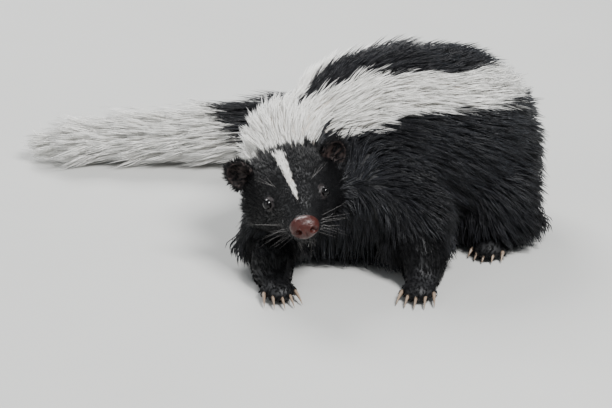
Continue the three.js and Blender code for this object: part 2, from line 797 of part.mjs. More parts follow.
const headGroup = new THREE.Group();
skunk.add(headGroup);
add("head", geometryOf(head), BLACK_FUR, headGroup);
add("nose", geometryOf(nose), NOSE_SKIN, headGroup);
["left", "right"].forEach((side, i) => {
  add("eye_" + side, eyes[i], EYE, headGroup);
  const ear = largest(solid(ears[side].cup).subtract(headRoom));
  add("ear_" + side, geometryOf(ear), BLACK_FUR, headGroup);
});
const WHITE_LENGTHS = ["neck", "tail_middle", "tail_tip"];
for (const [name, body] of Object.entries(coated))
  add(name, geometryOf(body), WHITE_LENGTHS.includes(name) ? WHITE_FUR : BLACK_FUR);
for (const [name, body] of Object.entries(legs)) {
  const limb = new THREE.Group();
  skunk.add(limb);
  add(name, geometryOf(largest(body.subtract(headRoom))), BLACK_FUR, limb);
  for (const [key, g] of Object.entries(claws))
    if (key.startsWith(name)) add(key, g, CLAW, limb);
}

// The origin is at the middle of the outline on the floor.
skunk.updateMatrixWorld(true);
const box = new THREE.Box3().setFromObject(skunk, true);
const middle = box.getCenter(V(0, 0, 0));
skunk.position.set(-middle.x, -middle.y, -box.min.z);

export default skunk;
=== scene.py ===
"""A young striped skunk in a low crouch, life size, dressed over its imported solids.

Shapes are worked out in millimetres in the maker's own frame: the viewer looks along +Y, the animal's
left is at +X and the floor is at z = 0. Place turns them into metres in the model's frame.
"""

import json
import logging
import math
from dataclasses import dataclass, field
from enum import Enum
from typing import Callable, Sequence

import bmesh
import bpy
import numpy as np
from mathutils import Matrix, Vector

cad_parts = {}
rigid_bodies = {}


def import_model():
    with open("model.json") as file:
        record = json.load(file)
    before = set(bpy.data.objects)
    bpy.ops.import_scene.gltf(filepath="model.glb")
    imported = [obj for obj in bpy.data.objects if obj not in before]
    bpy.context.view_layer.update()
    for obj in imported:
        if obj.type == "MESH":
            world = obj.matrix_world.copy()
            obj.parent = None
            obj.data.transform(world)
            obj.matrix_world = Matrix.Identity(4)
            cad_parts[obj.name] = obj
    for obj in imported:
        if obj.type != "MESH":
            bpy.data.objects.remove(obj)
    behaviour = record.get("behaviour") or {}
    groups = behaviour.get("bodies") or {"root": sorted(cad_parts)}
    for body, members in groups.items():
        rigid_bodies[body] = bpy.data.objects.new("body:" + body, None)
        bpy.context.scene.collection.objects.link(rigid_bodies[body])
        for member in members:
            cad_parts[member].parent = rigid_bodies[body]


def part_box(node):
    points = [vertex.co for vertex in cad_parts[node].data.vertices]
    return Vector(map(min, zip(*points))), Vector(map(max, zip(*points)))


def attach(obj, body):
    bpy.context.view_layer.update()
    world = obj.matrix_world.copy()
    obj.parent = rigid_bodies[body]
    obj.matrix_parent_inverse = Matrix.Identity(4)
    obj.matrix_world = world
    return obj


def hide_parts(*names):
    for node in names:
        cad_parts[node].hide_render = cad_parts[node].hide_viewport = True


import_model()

log = logging.getLogger("skunk")

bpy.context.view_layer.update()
BODY = "root"
Z = np.array([0.0, 0.0, 1.0])
NOSE_CENTRE = (31.5, 0.0, -8.5)
NOSE_RADII = (6.8, 9.6, 7.6)


# Small tools on arrays of points


def unit(v: np.ndarray) -> np.ndarray:
    """Vectors scaled to length one.

    Args:
        v: one vector or rows of them.

    Returns:
        The same shape, each of length one.
    """
    return v / np.maximum(np.linalg.norm(v, axis=-1, keepdims=True), 1e-9)


def blend(a: np.ndarray, b: np.ndarray, width: float) -> np.ndarray:
    """The smaller of two distances, with their join rounded.

    Args:
        a: distances to one form.
        b: distances to the other.
        width: how wide the join is rounded.

    Returns:
        Distances to both forms together.
    """
    h = np.maximum(width - np.abs(a - b), 0) / width
    return np.minimum(a, b) - h * h * width / 4


def step(low: float, high: float, x: np.ndarray) -> np.ndarray:
    """A smooth rise from 0 at low to 1 at high.

    Args:
        low: where the rise begins.
        high: where it ends.
        x: the values to map.

    Returns:
        Numbers from 0 to 1.
    """
    t = np.clip((x - low) / (high - low), 0, 1)
    return t * t * (3 - 2 * t)


def taper(p: np.ndarray, a: np.ndarray, b: np.ndarray, ra: float, rb: float) -> np.ndarray:
    """Distance from points to a cone with round ends.

    Args:
        p: rows of points.
        a: the centre of the first end.
        b: the centre of the second end.
        ra: the radius at a.
        rb: the radius at b.

    Returns:
        One distance a point, negative inside.
    """
    ab = b - a
    t = np.clip((p - a) @ ab / (ab @ ab), 0, 1)
    return np.linalg.norm(p - a - t[:, None] * ab, axis=1) - (ra + (rb - ra) * t)


@dataclass(frozen=True)
class Station:
    """A round section of a body form: its centre and its radius."""

    x: float
    y: float
    z: float
    r: float

    @property
    def at(self) -> np.ndarray:
        """The centre as an array."""
        return np.array([self.x, self.y, self.z])


def chain(p: np.ndarray, stations: Sequence[Station], width: float) -> np.ndarray:
    """Distance to a run of stations joined by tapers.

    Args:
        p: rows of points.
        stations: the run of stations.
        width: how wide each join is rounded.

    Returns:
        One distance a point.
    """
    d = np.full(len(p), 1e3)
    for a, b in zip(stations, stations[1:]):
        d = blend(d, taper(p, a.at, b.at, a.r, b.r), width)
    return d


# The animal's outline, out to the tips of its coat


@dataclass(frozen=True)
class HeadFrame:
    """The head's own directions, from the point between the eyes."""

    yaw: float = math.radians(7.5)
    roll: float = math.radians(10.5)
    between_eyes: tuple[float, float, float] = (-2.5, 11.0, 63.5)

    @property
    def forward(self) -> np.ndarray:
        """The direction of the nose."""
        return np.array([math.sin(self.yaw), -math.cos(self.yaw), 0.0])

    @property
    def left(self) -> np.ndarray:
        """The direction of the left ear."""
        level = np.array([math.cos(self.yaw), math.sin(self.yaw), 0.0])
        return math.cos(self.roll) * level + math.sin(self.roll) * Z

    @property
    def up(self) -> np.ndarray:
        """The direction of the crown."""
        return np.cross(self.left, -self.forward)

    @property
    def axes(self) -> np.ndarray:
        """Forward, left and up as rows."""
        return np.array([self.forward, self.left, self.up])

    def at(self, forward: float, left: float, up: float) -> np.ndarray:
        """A point given in the head frame.

        Args:
            forward: millimetres towards the nose.
            left: millimetres towards the left ear.
            up: millimetres towards the crown.

        Returns:
            The point in the maker's frame.
        """
        return np.array(self.between_eyes) + np.array([forward, left, up]) @ self.axes

    def local(self, p: np.ndarray) -> np.ndarray:
        """Points in the head frame.

        Args:
            p: rows of points in the maker's frame.

        Returns:
            Rows of forward, left and up.
        """
        return (p - np.array(self.between_eyes)) @ self.axes.T


HEAD = HeadFrame()


@dataclass(frozen=True)
class Leg:
    """One leg: shoulder or hip, elbow or knee, wrist or ankle, and the line of its foot."""

    name: str
    bones: tuple[Station, Station, Station]
    heel: tuple[float, float, float]
    toe: tuple[float, float, float]
    claw: float
    share: float = 0.8
    width: float = 24.0
    toe_radius: float = 4.3

    def toes(self) -> list[tuple[np.ndarray, np.ndarray, np.ndarray]]:
        """The root, the tip and the direction of each of the five toes.

        Returns:
            Five tuples, from the animal's right to its left.
        """
        heel, toe = np.array(self.heel), np.array(self.toe)
        ahead = unit((toe - heel) * [1, 1, 0])
        across = np.array([-ahead[1], ahead[0], 0.0])
        lines = []
        for i in (-2, -1, 0, 1, 2):
            root = toe + across * (i * self.width / 5.4) - ahead * (6 + abs(i))
            spread = unit(ahead + across * (i * 0.09))
            tip = root + spread * (11 - i * i * 0.9)
            tip[2] = 4.2
            lines.append((root, tip, spread))
        return lines

    def upper(self, p: np.ndarray) -> np.ndarray:
        """Distance to the upper arm or thigh, for rows of points p."""
        a, b, _ = self.bones
        return taper(p, a.at, b.at, a.r, b.r)

    def lower(self, p: np.ndarray) -> np.ndarray:
        """Distance to the lower leg and foot.

        Args:
            p: rows of points.

        Returns:
            One distance a point.
        """
        flat = np.array([1, 1, 1.5])
        lift = np.array([0, 0, 1.0])
        heel, toe = (np.array(self.heel) - lift) * flat, (np.array(self.toe) - lift) * flat
        foot = taper((p - lift) * flat, heel, toe, 10, 11.5) / 1.2
        _, joint, ankle = self.bones
        shin = taper(p, joint.at, ankle.at, joint.r * self.share, ankle.r)
        shank = taper(p, ankle.at, np.array(self.heel), ankle.r, 10)
        d = blend(blend(shin, shank, 8), foot, 13)
        for root, tip, _ in self.toes():
            d = blend(d, taper(p, root, tip, self.toe_radius, self.toe_radius), 1.5)
        return d


def _legs() -> tuple[Leg, ...]:
    """The four legs as the animal stands."""
    return (
        Leg("foreleg_left", (Station(50, 66, 56, 36), Station(73, 42, 37, 27),
                             Station(80, 18, 17, 14)), (80, 14, 8), (76, -10, 6), 13),
        Leg("foreleg_right", (Station(-2, 72, 52, 30), Station(-20, 48, 27, 21),
                              Station(-18, 18, 16, 13.5)), (-18, 14, 8), (-13, -10, 6), 13),
        Leg("hindleg_left", (Station(121, 116, 48, 40), Station(129, 92, 32, 30),
                             Station(138, 104, 14, 14.5)), (138, 102, 9), (123, 61, 6), 7),
        Leg("hindleg_right", (Station(78, 152, 48, 38), Station(60, 144, 32, 28),
                              Station(57, 158, 14, 14.5)), (57, 157, 9), (43, 116, 6), 7),
    )


@dataclass
class Outline:
    """The forms of the whole animal, and how deep the skin lies under the tips of its coat."""

    spine: tuple[Station, ...] = (
        Station(-6, 76, 72, 33), Station(33, 101, 76, 46), Station(62, 104, 75, 55),
        Station(93, 116, 66, 58), Station(104, 138, 59, 53), Station(101, 164, 52, 36),
    )
    tail: tuple[Station, ...] = (
        Station(98, 182, 47, 28), Station(78, 208, 37, 29), Station(40, 227, 29, 28),
        Station(-5, 233, 24, 25), Station(-55, 234, 21, 22), Station(-105, 234, 18, 19),
        Station(-145, 234, 15, 17), Station(-168, 234, 13, 13),
    )
    chest: tuple[Station, ...] = (Station(-4, 56, 46, 30), Station(40, 58, 46, 33))
    legs: tuple[Leg, ...] = field(default_factory=_legs)
    eye_radius: float = 3.7
    eye_spread: float = 18.0
    body_depth: float = 7.5
    tail_depth: float = 8.0
    head_depth: float = 2.0
    leg_depth: float = 2.4

    def masses(self) -> list[tuple[np.ndarray, np.ndarray, float, float]]:
        """The rounded masses of the head.

        Returns:
            For each mass its two ends and their radii.
        """
        rows = (
            ((-26, 0, -3), (-22, 0, -2), 28, 27),
            ((-24, 13, -11), (-10, 11, -13), 20, 15),
            ((-24, -13, -11), (-10, -11, -13), 20, 15),
            ((-8, 0, -1), (2, 0, -3), 19.5, 16),
            ((2, 0, -7), (25, 0, -9.5), 15.5, 9.2),
            ((26, 4, -12.5), (16, 7, -13), 5.6, 6.5),
            ((26, -4, -12.5), (16, -7, -13), 5.6, 6.5),
            ((-12, 0, -20), (20, 0, -19), 13, 5.6),
        )
        return [(HEAD.at(*a), HEAD.at(*b), ra, rb) for a, b, ra, rb in rows]

    def eyes(self) -> list[np.ndarray]:
        """The centres of the left and right eye."""
        return [HEAD.at(1.5, side * self.eye_spread, 0) for side in (1, -1)]

    def head_field(self, p: np.ndarray) -> np.ndarray:
        """Distance to the head's coat, for rows of points p."""
        d = np.full(len(p), 1e3)
        for a, b, ra, rb in self.masses():
            d = blend(d, taper(p, a, b, ra, rb), 8)
        for eye in self.eyes():
            d = blend(d, np.linalg.norm(p - eye, axis=1) - self.eye_radius - 1.7, 4)
        return d

    def neck(self) -> tuple[Station, Station]:
        """The two stations of the neck."""
        return (Station(*HEAD.at(-36, 0, -8), 29), self.spine[0])

    def body_field(self, p: np.ndarray) -> np.ndarray:
        """Distance to the coat of the trunk, neck, shoulders and thighs.

        Args:
            p: rows of points.

        Returns:
            One distance a point.
        """
        root = self.tail[0]
        d = blend(chain(p, self.spine, 10), chain(p, (self.spine[5], root), 1), 14)
        d = blend(d, chain(p, self.chest, 1), 16)
        for leg in self.legs:
            d = blend(d, leg.upper(p), 12)
        d = blend(d, chain(p, self.neck(), 12), 10)
        return np.maximum(d, 4 - p[:, 2])

    def parts(self, p: np.ndarray) -> dict[str, np.ndarray]:
        """Distance to the skin of each part of the body.

        Args:
            p: rows of points.

        Returns:
            The distances under the part's name.
        """
        found = {
            "body": self.body_field(p) + self.body_depth,
            "tail": chain(p, self.tail, 5) + self.tail_depth,
            "head": self.head_field(p) + self.head_depth,
        }
        for leg in self.legs:
            found[leg.name] = leg.lower(p) + self.leg_depth
        return found

    def skin_field(self, p: np.ndarray) -> np.ndarray:
        """Distance to the skin of the whole animal, for rows of points p."""
        parts = self.parts(p)
        d = blend(parts["body"], parts["tail"], 10)
        d = blend(d, parts["head"], 9)
        for leg in self.legs:
            d = blend(d, parts[leg.name], 8)
        return np.maximum(d, 0.7 - p[:, 2])


@dataclass
class Axis:
    """The line from the head through the spine to the tail's tip, with directions round it."""

    outline: Outline
    count: int = 160
    points: np.ndarray = field(init=False)
    tangents: np.ndarray = field(init=False)
    lefts: np.ndarray = field(init=False)
    ups: np.ndarray = field(init=False)
    share: np.ndarray = field(init=False)

    def __post_init__(self) -> None:
        """Samples the line evenly."""
        stations = (*self.outline.spine, *self.outline.tail)
        knots = np.array([HEAD.at(-34, 0, 4), *(s.at for s in stations)])
        runs = np.linalg.norm(np.diff(knots, axis=0), axis=1)
        length = np.concatenate([[0], np.cumsum(runs)])
        t = np.linspace(0, length[-1], self.count)
        line = np.stack([np.interp(t, length, knots[:, k]) for k in range(3)], axis=1)
        for _ in range(6):
            line[1:-1] = (line[:-2] + 2 * line[1:-1] + line[2:]) / 4
        self.points = line
        self.tangents = unit(np.gradient(line, axis=0))
        self.lefts = unit(np.cross(Z, -self.tangents))
        self.ups = np.cross(-self.tangents, self.lefts)
        self.share = np.linspace(0, 1, self.count)

    def locate(self, p: np.ndarray) -> tuple[np.ndarray, np.ndarray, np.ndarray]:
        """Where points are along and round the line.

        Args:
            p: rows of points.

        Returns:
            The index of the nearest sample, the share of the line, and the angle round it in
            radians, 0 at the top and positive on the animal's left.
        """
        nearest = np.empty(len(p), int)
        for start in range(0, len(p), 20000):
            block = p[start:start + 20000]
            gaps = np.linalg.norm(block[:, None] - self.points[None], axis=2)
            nearest[start:start + 20000] = gaps.argmin(axis=1)
        out = p - self.points[nearest]
        left = np.einsum("ij,ij->i", out, self.lefts[nearest])
        up = np.einsum("ij,ij->i", out, self.ups[nearest])
        return nearest, self.share[nearest], np.arctan2(left, up)


# Place: from the maker's frame to the model's


@dataclass
class Place:
    """Moves shapes from the maker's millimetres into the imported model's metres."""

    outline: Outline

    @property
    def shift(self) -> np.ndarray:
        """The model frame's shift in millimetres, read from where the left eye is."""
        low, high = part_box("eye_left")
        centre = (np.array(low) + np.array(high)) * 500
        return centre - self.outline.eyes()[0]

    def model(self, p: np.ndarray) -> np.ndarray:
        """Points in metres in the model's frame.

        Args:
            p: rows of points in millimetres in the maker's frame.

        Returns:
            Rows of points in metres.
        """
        return (p + self.shift) / 1000


# Meshes


def make_mesh(name: str, points: np.ndarray, faces: Sequence[Sequence[int]]) -> bpy.types.Object:
    """A smooth-shaded mesh object at the origin.

    Args:
        name: the object's name.
        points: rows of points in metres.
        faces: vertex numbers of each face.

    Returns:
        The object, linked to the scene.
    """
    mesh = bpy.data.meshes.new(name)
    mesh.from_pydata(np.asarray(points).tolist(), [], [list(map(int, f)) for f in faces])
    mesh.polygons.foreach_set("use_smooth", np.ones(len(mesh.polygons), bool))
    mesh.update()
    obj = bpy.data.objects.new(name, mesh)
    bpy.context.scene.collection.objects.link(obj)
    return obj


def store(obj: bpy.types.Object, name: str, values: np.ndarray) -> None:
    """Stores a number or vector for each point of a mesh.

    Args:
        obj: the mesh object.
        name: the attribute's name.
        values: one number or one row a point.
    """
    vector = values.ndim == 2
    kind = "FLOAT_VECTOR" if vector else "FLOAT"
    attribute = obj.data.attributes.new(name, kind, "POINT")
    key = "vector" if vector else "value"
    attribute.data.foreach_set(key, np.ascontiguousarray(values, np.float32).ravel())


def grid_surface(
    values: Callable[[np.ndarray], np.ndarray], low: np.ndarray, high: np.ndarray, cell: float
) -> tuple[np.ndarray, np.ndarray]:
    """The surface where a field is zero, as quads on a regular grid.

    Args:
        values: the field, for rows of points.
        low: the grid's lowest corner.
        high: its highest corner.
        cell: the grid's spacing.

    Returns:
        Rows of points, and rows of four vertex numbers.
    """
    axes = [np.arange(low[k], high[k] + cell, cell) for k in range(3)]
    shape = tuple(len(a) for a in axes)
    v = np.empty(shape)
    plane = np.stack(np.meshgrid(axes[1], axes[2], indexing="ij"), axis=-1).reshape(-1, 2)
    for i, x in enumerate(axes[0]):
        p = np.column_stack([np.full(len(plane), x), plane])
        v[i] = values(p).reshape(shape[1:])
    inside = v < 0
    cells = tuple(n - 1 for n in shape)
    total = np.zeros((*cells, 3))
    count = np.zeros(cells)
    corners = [(a, b, c) for a in (0, 1) for b in (0, 1) for c in (0, 1)]

    def corner(grid: np.ndarray, c: tuple[int, int, int]) -> np.ndarray:
        """The grid's values at one corner of every cell."""
        return grid[tuple(slice(c[k], c[k] + cells[k]) for k in range(3))]

    for a in corners:
        for k in range(3):
            if a[k]:
                continue
            b = tuple(x + (m == k) for m, x in enumerate(a))
            va, vb = corner(v, a), corner(v, b)
            cross = corner(inside, a) != corner(inside, b)
            t = np.where(cross, va / np.where(cross, va - vb, 1), 0)
            for m in range(3):
                total[..., m] += np.where(cross, a[m] + (t if m == k else 0), 0)
            count += cross
    used = count > 0
    number = np.full(cells, -1)
    number[used] = np.arange(used.sum())
    base = np.stack(np.nonzero(used), axis=1)
    points = (base + total[used] / count[used][:, None]) * cell + low
    quads = []
    for k in range(3):
        s, t = np.eye(3, dtype=int)[(k + 1) % 3], np.eye(3, dtype=int)[(k + 2) % 3]
        here = [slice(1, n - 1) for n in shape]
        here[k] = slice(0, shape[k] - 1)
        there = list(here)
        there[k] = slice(1, shape[k])
        a, b = inside[tuple(here)], inside[tuple(there)]
        offset = np.array([0 if m == k else 1 for m in range(3)])
        at = np.stack(np.nonzero(a != b), axis=1) + offset
        ring = [number[tuple((at - s * i - t * j).T)] for i, j in ((1, 1), (0, 1), (0, 0), (1, 0))]
        quad = np.stack(ring, axis=1)
        outward = inside[tuple(at.T)]
        quads.append(np.where(outward[:, None], quad, quad[:, ::-1]))
    return points, np.concatenate(quads)


def slopes(values: Callable[[np.ndarray], np.ndarray], p: np.ndarray) -> np.ndarray:
    """The field's slope at points.

    Args:
        values: the field.
        p: rows of points.

    Returns:
        Rows of slope vectors.
    """
    e = 0.4
    return np.stack(
        [(values(p + e * axis) - values(p - e * axis)) / (2 * e) for axis in np.eye(3)], axis=1
    )


def settle(values: Callable[[np.ndarray], np.ndarray], p: np.ndarray, reach: float) -> np.ndarray:
    """Points moved along the slope to where the field is zero.

    Args:
        values: the field.
        p: rows of points.
        reach: the furthest that a point may move in one step.

    Returns:
        The moved points.
    """
    for _ in range(2):
        n = slopes(values, p)
        move = -values(p) / np.maximum((n * n).sum(axis=1), 0.2)
        p = p + n * np.clip(move, -reach, reach)[:, None]
    return p


# The skin


@dataclass(frozen=True)
class Growth:
    """One region's coat: its hair in millimetres, and its tufts on each square millimetre."""

    length: float
    height: float
    width: float
    density: float


@dataclass(frozen=True)
class CoatPlan:
    """The coat of each region, and what is added towards the nape and towards the toes."""

    body: Growth = Growth(24, 6.4, 0.56, 0.136)
    tail: Growth = Growth(33, 5.2, 0.62, 0.17)
    chest: Growth = Growth(21, 6.8, 0.52, 0.165)
    upper: Growth = Growth(19, 6.6, 0.52, 0.155)
    face: Growth = Growth(2.3, 0.75, 0.26, 0.9)
    towards_nape: Growth = Growth(11.5, 3.5, 0.2, -0.6)
    leg: Growth = Growth(8.5, 2.8, 0.36, 0.26)
    towards_toes: Growth = Growth(-5.0, -1.4, 0.0, 0.0)
    hang_slope: float = 1.15
    hang_floor: float = 1.5
    hang_most: float = 24
    hang_less_on_tail: float = 0.6
    hang_longer_on_chest: float = 14
    neck_lower: float = 0.38
    neck_shorter: float = 0.25
    tail_tip_shorter: float = 0.42
    bare_edge_shorter: float = 0.45

    def measure(
        self, size: str, shares: Sequence[np.ndarray], back: np.ndarray, low: np.ndarray
    ) -> np.ndarray:
        """One measure of the coat at every point, mixed from the regions' own.

        Args:
            size: the measure's name in Growth.
            shares: how much body, tail, chest, upper legs, head and legs rule each point.
            back: how far towards the nape each point is.
            low: how far towards the toes each point is.

        Returns:
            One number a point.
        """
        flat = [getattr(region, size) for region in (self.body, self.tail, self.chest, self.upper)]
        head = getattr(self.face, size) + getattr(self.towards_nape, size) * back
        legs = getattr(self.leg, size) + getattr(self.towards_toes, size) * low
        return sum(share * value for share, value in zip(shares, (*flat, head, legs)))


@dataclass
class Skin:
    """One closed skin under the whole coat, finest on the face, with what the coat grows by."""

    outline: Outline
    axis: Axis
    place: Place
    plan: CoatPlan = CoatPlan()
    cell: float = 2.3
    quick_cell: float = 3.4
    grid_low: tuple[float, float, float] = (-192.0, -34.0, -3.0)
    grid_high: tuple[float, float, float] = (176.0, 270.0, 142.0)
    fine_reach: float = 36
    lie_rounds: int = 14
    part_blur: float = 3.5
    lid_rise: float = 0.45
    socket_depth: float = 3.0
    lip_rise: float = 0.5
    mouth_depth: float = 1.3
    mouth_line: tuple[tuple[float, float], ...] = ((-7, -14.5), (8, -17.4), (22, -16.9), (36, -15.4))
    sole_height: float = 7
    points: np.ndarray = field(init=False)
    normals: np.ndarray = field(init=False)
    obj: bpy.types.Object = field(init=False)

    def build(self) -> bpy.types.Object:
        """Makes the skin and its attributes.

        Returns:
            The skin's object.
        """
        cell = self.cell
        low, high = np.array(self.grid_low), np.array(self.grid_high)
        points, quads = grid_surface(self.outline.skin_field, low, high, cell)
        points = settle(self.outline.skin_field, points, cell * 0.5)
        self.obj = make_mesh("skin", points, quads)
        self._refine_face()
        p = self._read_points()
        p = settle(self.outline.skin_field, p, cell * 0.3)
        self._write_points(p)
        normals = self._read_normals()
        p = p + normals * self._face_relief(p)[:, None]
        self._write_points(p)
        self.points, self.normals = p, self._read_normals()
        self._store_growth()
        self._write_points(self.place.model(p))
        return self.obj

    def _refine_face(self) -> None:
        """Splits the faces from the brow to the chin in four, so that lids and lips have room."""
        bm = bmesh.new()
        bm.from_mesh(self.obj.data)
        centre = Vector(HEAD.at(10, 0, -8))
        near = {e for f in bm.faces
                if (f.calc_center_median() - centre).length < self.fine_reach
                for e in f.edges}
        bmesh.ops.subdivide_edges(bm, edges=list(near), cuts=1, use_grid_fill=True)
        bmesh.ops.triangulate(bm, faces=[f for f in bm.faces if len(f.verts) > 4])
        bm.to_mesh(self.obj.data)
        bm.free()
        self.obj.data.polygons.foreach_set("use_smooth", np.ones(len(self.obj.data.polygons), bool))

    def _read_points(self) -> np.ndarray:
        """The mesh's points."""
        p = np.empty(len(self.obj.data.vertices) * 3)
        self.obj.data.vertices.foreach_get("co", p)
        return p.reshape(-1, 3)

    def _write_points(self, p: np.ndarray) -> None:
        """Sets the mesh's points to p."""
        self.obj.data.vertices.foreach_set("co", p.ravel())
        self.obj.data.update()

    def _read_normals(self) -> np.ndarray:
        """The mesh's normals at its points."""
        n = np.empty(len(self.obj.data.vertices) * 3)
        self.obj.data.vertices.foreach_get("normal", n)
        return n.reshape(-1, 3)

    def _face_relief(self, p: np.ndarray) -> np.ndarray:
        """How far lids and lips stand out of the plain skin, and sockets and mouth lie in it.

        Args:
            p: rows of points on the skin.

        Returns:
            Millimetres outwards, one a point.
        """
        q = HEAD.local(p)
        relief = np.zeros(len(p))
        for side, eye in zip((1, -1), self.outline.eyes()):
            look = eye_direction(side)
            away = p - eye
            along = away @ look
            across = away - along[:, None] * look
            wide = np.hypot(across @ HEAD.up * 1.25, across @ np.cross(look, HEAD.up))
            ring = np.exp(-(((wide - 4.3) / 1.0) ** 2))
            bowl = np.exp(-((wide / 2.9) ** 4))
            near = along > 0
            relief += near * (self.lid_rise * ring - self.socket_depth * bowl)
        mouth = np.array(self.mouth_line)
        gap = np.full(len(p), 1e3)
        for a, b in zip(mouth, mouth[1:]):
            ab = b - a
            t = np.clip((q[:, [0, 2]] - a) @ ab / (ab @ ab), 0, 1)
            gap = np.minimum(gap, np.linalg.norm(q[:, [0, 2]] - a - t[:, None] * ab, axis=1))
        on_muzzle = step(-8, -2, q[:, 0])
        lips = self.lip_rise * np.exp(-(((gap - 1.9) / 1.0) ** 2))
        slit = self.mouth_depth * np.exp(-((gap / 0.7) ** 2))
        relief += on_muzzle * (lips - slit)
        below_nose = step(27, 29, q[:, 0]) * step(-18, -16.5, q[:, 2]) * (q[:, 2] < -11)
        relief -= 0.8 * below_nose * np.exp(-((q[:, 1] / 0.6) ** 2))
        return relief

    def _part_weights(self) -> dict[str, np.ndarray]:
        """How much each part of the body rules the coat at each point."""
        parts = self.outline.parts(self.points)
        for leg in self.outline.legs:
            parts["upper_" + leg.name] = leg.upper(self.points) + self.outline.body_depth - 1
        parts["chest"] = chain(self.points, self.outline.chest, 1) + self.outline.body_depth - 1
        nearest = np.min(list(parts.values()), axis=0)
        weights = {name: np.exp(-(d - nearest) / self.part_blur) for name, d in parts.items()}
        total = np.sum(list(weights.values()), axis=0)
        return {name: w / total for name, w in weights.items()}

    def _lie(self, weights: dict[str, np.ndarray], nearest: np.ndarray) -> np.ndarray:
        """The direction in which the coat lies at each point.

        Args:
            weights: each part's weight.
            nearest: the sample of the axis next to each point.

        Returns:
            Rows of directions along the skin.
        """
        p, n = self.points, self.normals
        back = self.axis.tangents[nearest]
        steep = 1 - np.abs(n[:, 2])
        low = step(46, 22, p[:, 2])
        flank = back - (0.3 + 0.9 * low)[:, None] * steep[:, None] * Z
        nose = HEAD.at(34, 0, -8)
        face = 0.75 * unit(p - nose) - 0.5 * HEAD.forward
        lie = weights["body"][:, None] * flank + weights["tail"][:, None] * back
        lie = lie + weights["head"][:, None] * face
        lie = lie + weights["chest"][:, None] * (0.45 * back - 0.8 * Z)
        for leg in self.outline.legs:
            a, b, c = (s.at for s in leg.bones)
            down, shin = unit(b - a), unit(c - b)
            foot = unit(np.array(leg.toe) - np.array(leg.heel))
            on_foot = step(20, 9, p[:, 2])[:, None]
            lower = (1 - on_foot) * shin + on_foot * foot
            upper = 0.75 * down + 0.5 * back - 0.15 * Z
            lie = lie + weights[leg.name][:, None] * lower
            lie = lie + weights["upper_" + leg.name][:, None] * upper
        lie = unit(lie - (lie * n).sum(axis=1)[:, None] * n)
        return self._smoothed(lie)

    def _smoothed(self, lie: np.ndarray) -> np.ndarray:
        """The directions averaged with their neighbours', so that no parting shows.

        Args:
            lie: rows of directions.

        Returns:
            Rows of smoothed directions along the skin.
        """
        edges = np.empty(len(self.obj.data.edges) * 2, np.int32)
        self.obj.data.edges.foreach_get("vertices", edges)
        edges = edges.reshape(-1, 2)
        for _ in range(self.lie_rounds):
            total = lie * 1.0
            np.add.at(total, edges[:, 0], lie[edges[:, 1]])
            np.add.at(total, edges[:, 1], lie[edges[:, 0]])
            total -= (total * self.normals).sum(axis=1)[:, None] * self.normals
            lie = unit(total)
        return lie

    def _store_growth(self) -> None:
        """Stores what the coat and the finishes read: lie, length, height, width, marks."""
        p = self.points
        q = HEAD.local(p)
        nearest, share, angle = self.axis.locate(p)
        weights = self._part_weights()
        head = weights["head"]
        legs = sum(weights[leg.name] for leg in self.outline.legs)
        uppers = sum(weights["upper_" + leg.name] for leg in self.outline.legs)
        back_of_head = step(6, -34, q[:, 0])
        low = step(26, 8, p[:, 2])
        hanging = step(40, 22, p[:, 2]) * step(0.3, -0.3, self.normals[:, 2])
        plan = self.plan
        shares = (weights["body"], weights["tail"], weights["chest"], uppers, head, legs)
        length = plan.measure("length", shares, back_of_head ** 1.5, low)
        height = plan.measure("height", shares, back_of_head ** 1.5, low)
        width = plan.measure("width", shares, back_of_head, low)
        density = plan.measure("density", shares, back_of_head, low)
        fall = np.clip(plan.hang_slope * (p[:, 2] - plan.hang_floor), 0, plan.hang_most)
        fall = fall * hanging * (1 - legs) * (1 - head)
        fall = fall * (1 - plan.hang_less_on_tail * weights["tail"])
        height = np.maximum(height, fall)
        length = length + plan.hang_longer_on_chest * hanging * weights["chest"]
        neck = step(0.16, 0.06, share) * (1 - head) * (1 - hanging)
        height = height * (1 - plan.neck_lower * neck)
        length = length * (1 - plan.neck_shorter * neck)
        length = length * (1 - plan.tail_tip_shorter * step(0.92, 1.0, share))
        bare = self._bare(p, q)
        under = step(-0.75, -0.95, self.normals[:, 2]) * (p[:, 2] < self.sole_height)
        density = density * step(0.85, 0.35, bare) * (1 - under)
        length = length * (1 - plan.bare_edge_shorter * step(0.05, 0.5, bare))
        white = Markings().white(q, share, angle, head)
        store(self.obj, "lie", self._lie(weights, nearest))
        for name, values in (
            ("length", length), ("height", height), ("width", width), ("density", density),
            ("bare", bare), ("white", white), ("along_body", share + head * -0.2),
            ("head_share", head), ("leg_share", legs),
        ):
            store(self.obj, name, values)
        u = 0.04 + 0.92 * share * (1 - legs) + 0.92 * legs * np.clip(p[:, 1] / 300 + 0.2, 0, 1)
        v = 0.03 + 0.66 * (angle / (2 * math.pi) + 0.5)
        v = np.where(legs > 0.5, 0.72 + 0.25 * np.clip(p[:, 2] / 60, 0, 1), v)
        store(self.obj, "root_uv", np.column_stack([u, v, np.zeros(len(p))]))

    def _bare(self, p: np.ndarray, q: np.ndarray) -> np.ndarray:
        """How bare the skin is: at the lids, round the nose and on the lips.

        Args:
            p: rows of points.
            q: the same points in the head frame.

        Returns:
            Numbers from 0 to 1.
        """
        bare = np.zeros(len(p))
        for eye in self.outline.eyes():
            bare = np.maximum(bare, step(5.8, 4.9, np.linalg.norm(p - eye, axis=1)))
        nose = np.linalg.norm((q - np.array(NOSE_CENTRE)) / np.array(NOSE_RADII), axis=1)
        bare = np.maximum(bare, step(1.3, 1.08, nose))
        lips = np.exp(-(((q[:, 2] + 17 - 0.06 * (q[:, 0] - 8)) / 0.9) ** 2)) * step(-2, 6, q[:, 0])
        return np.maximum(bare, 0.9 * lips)


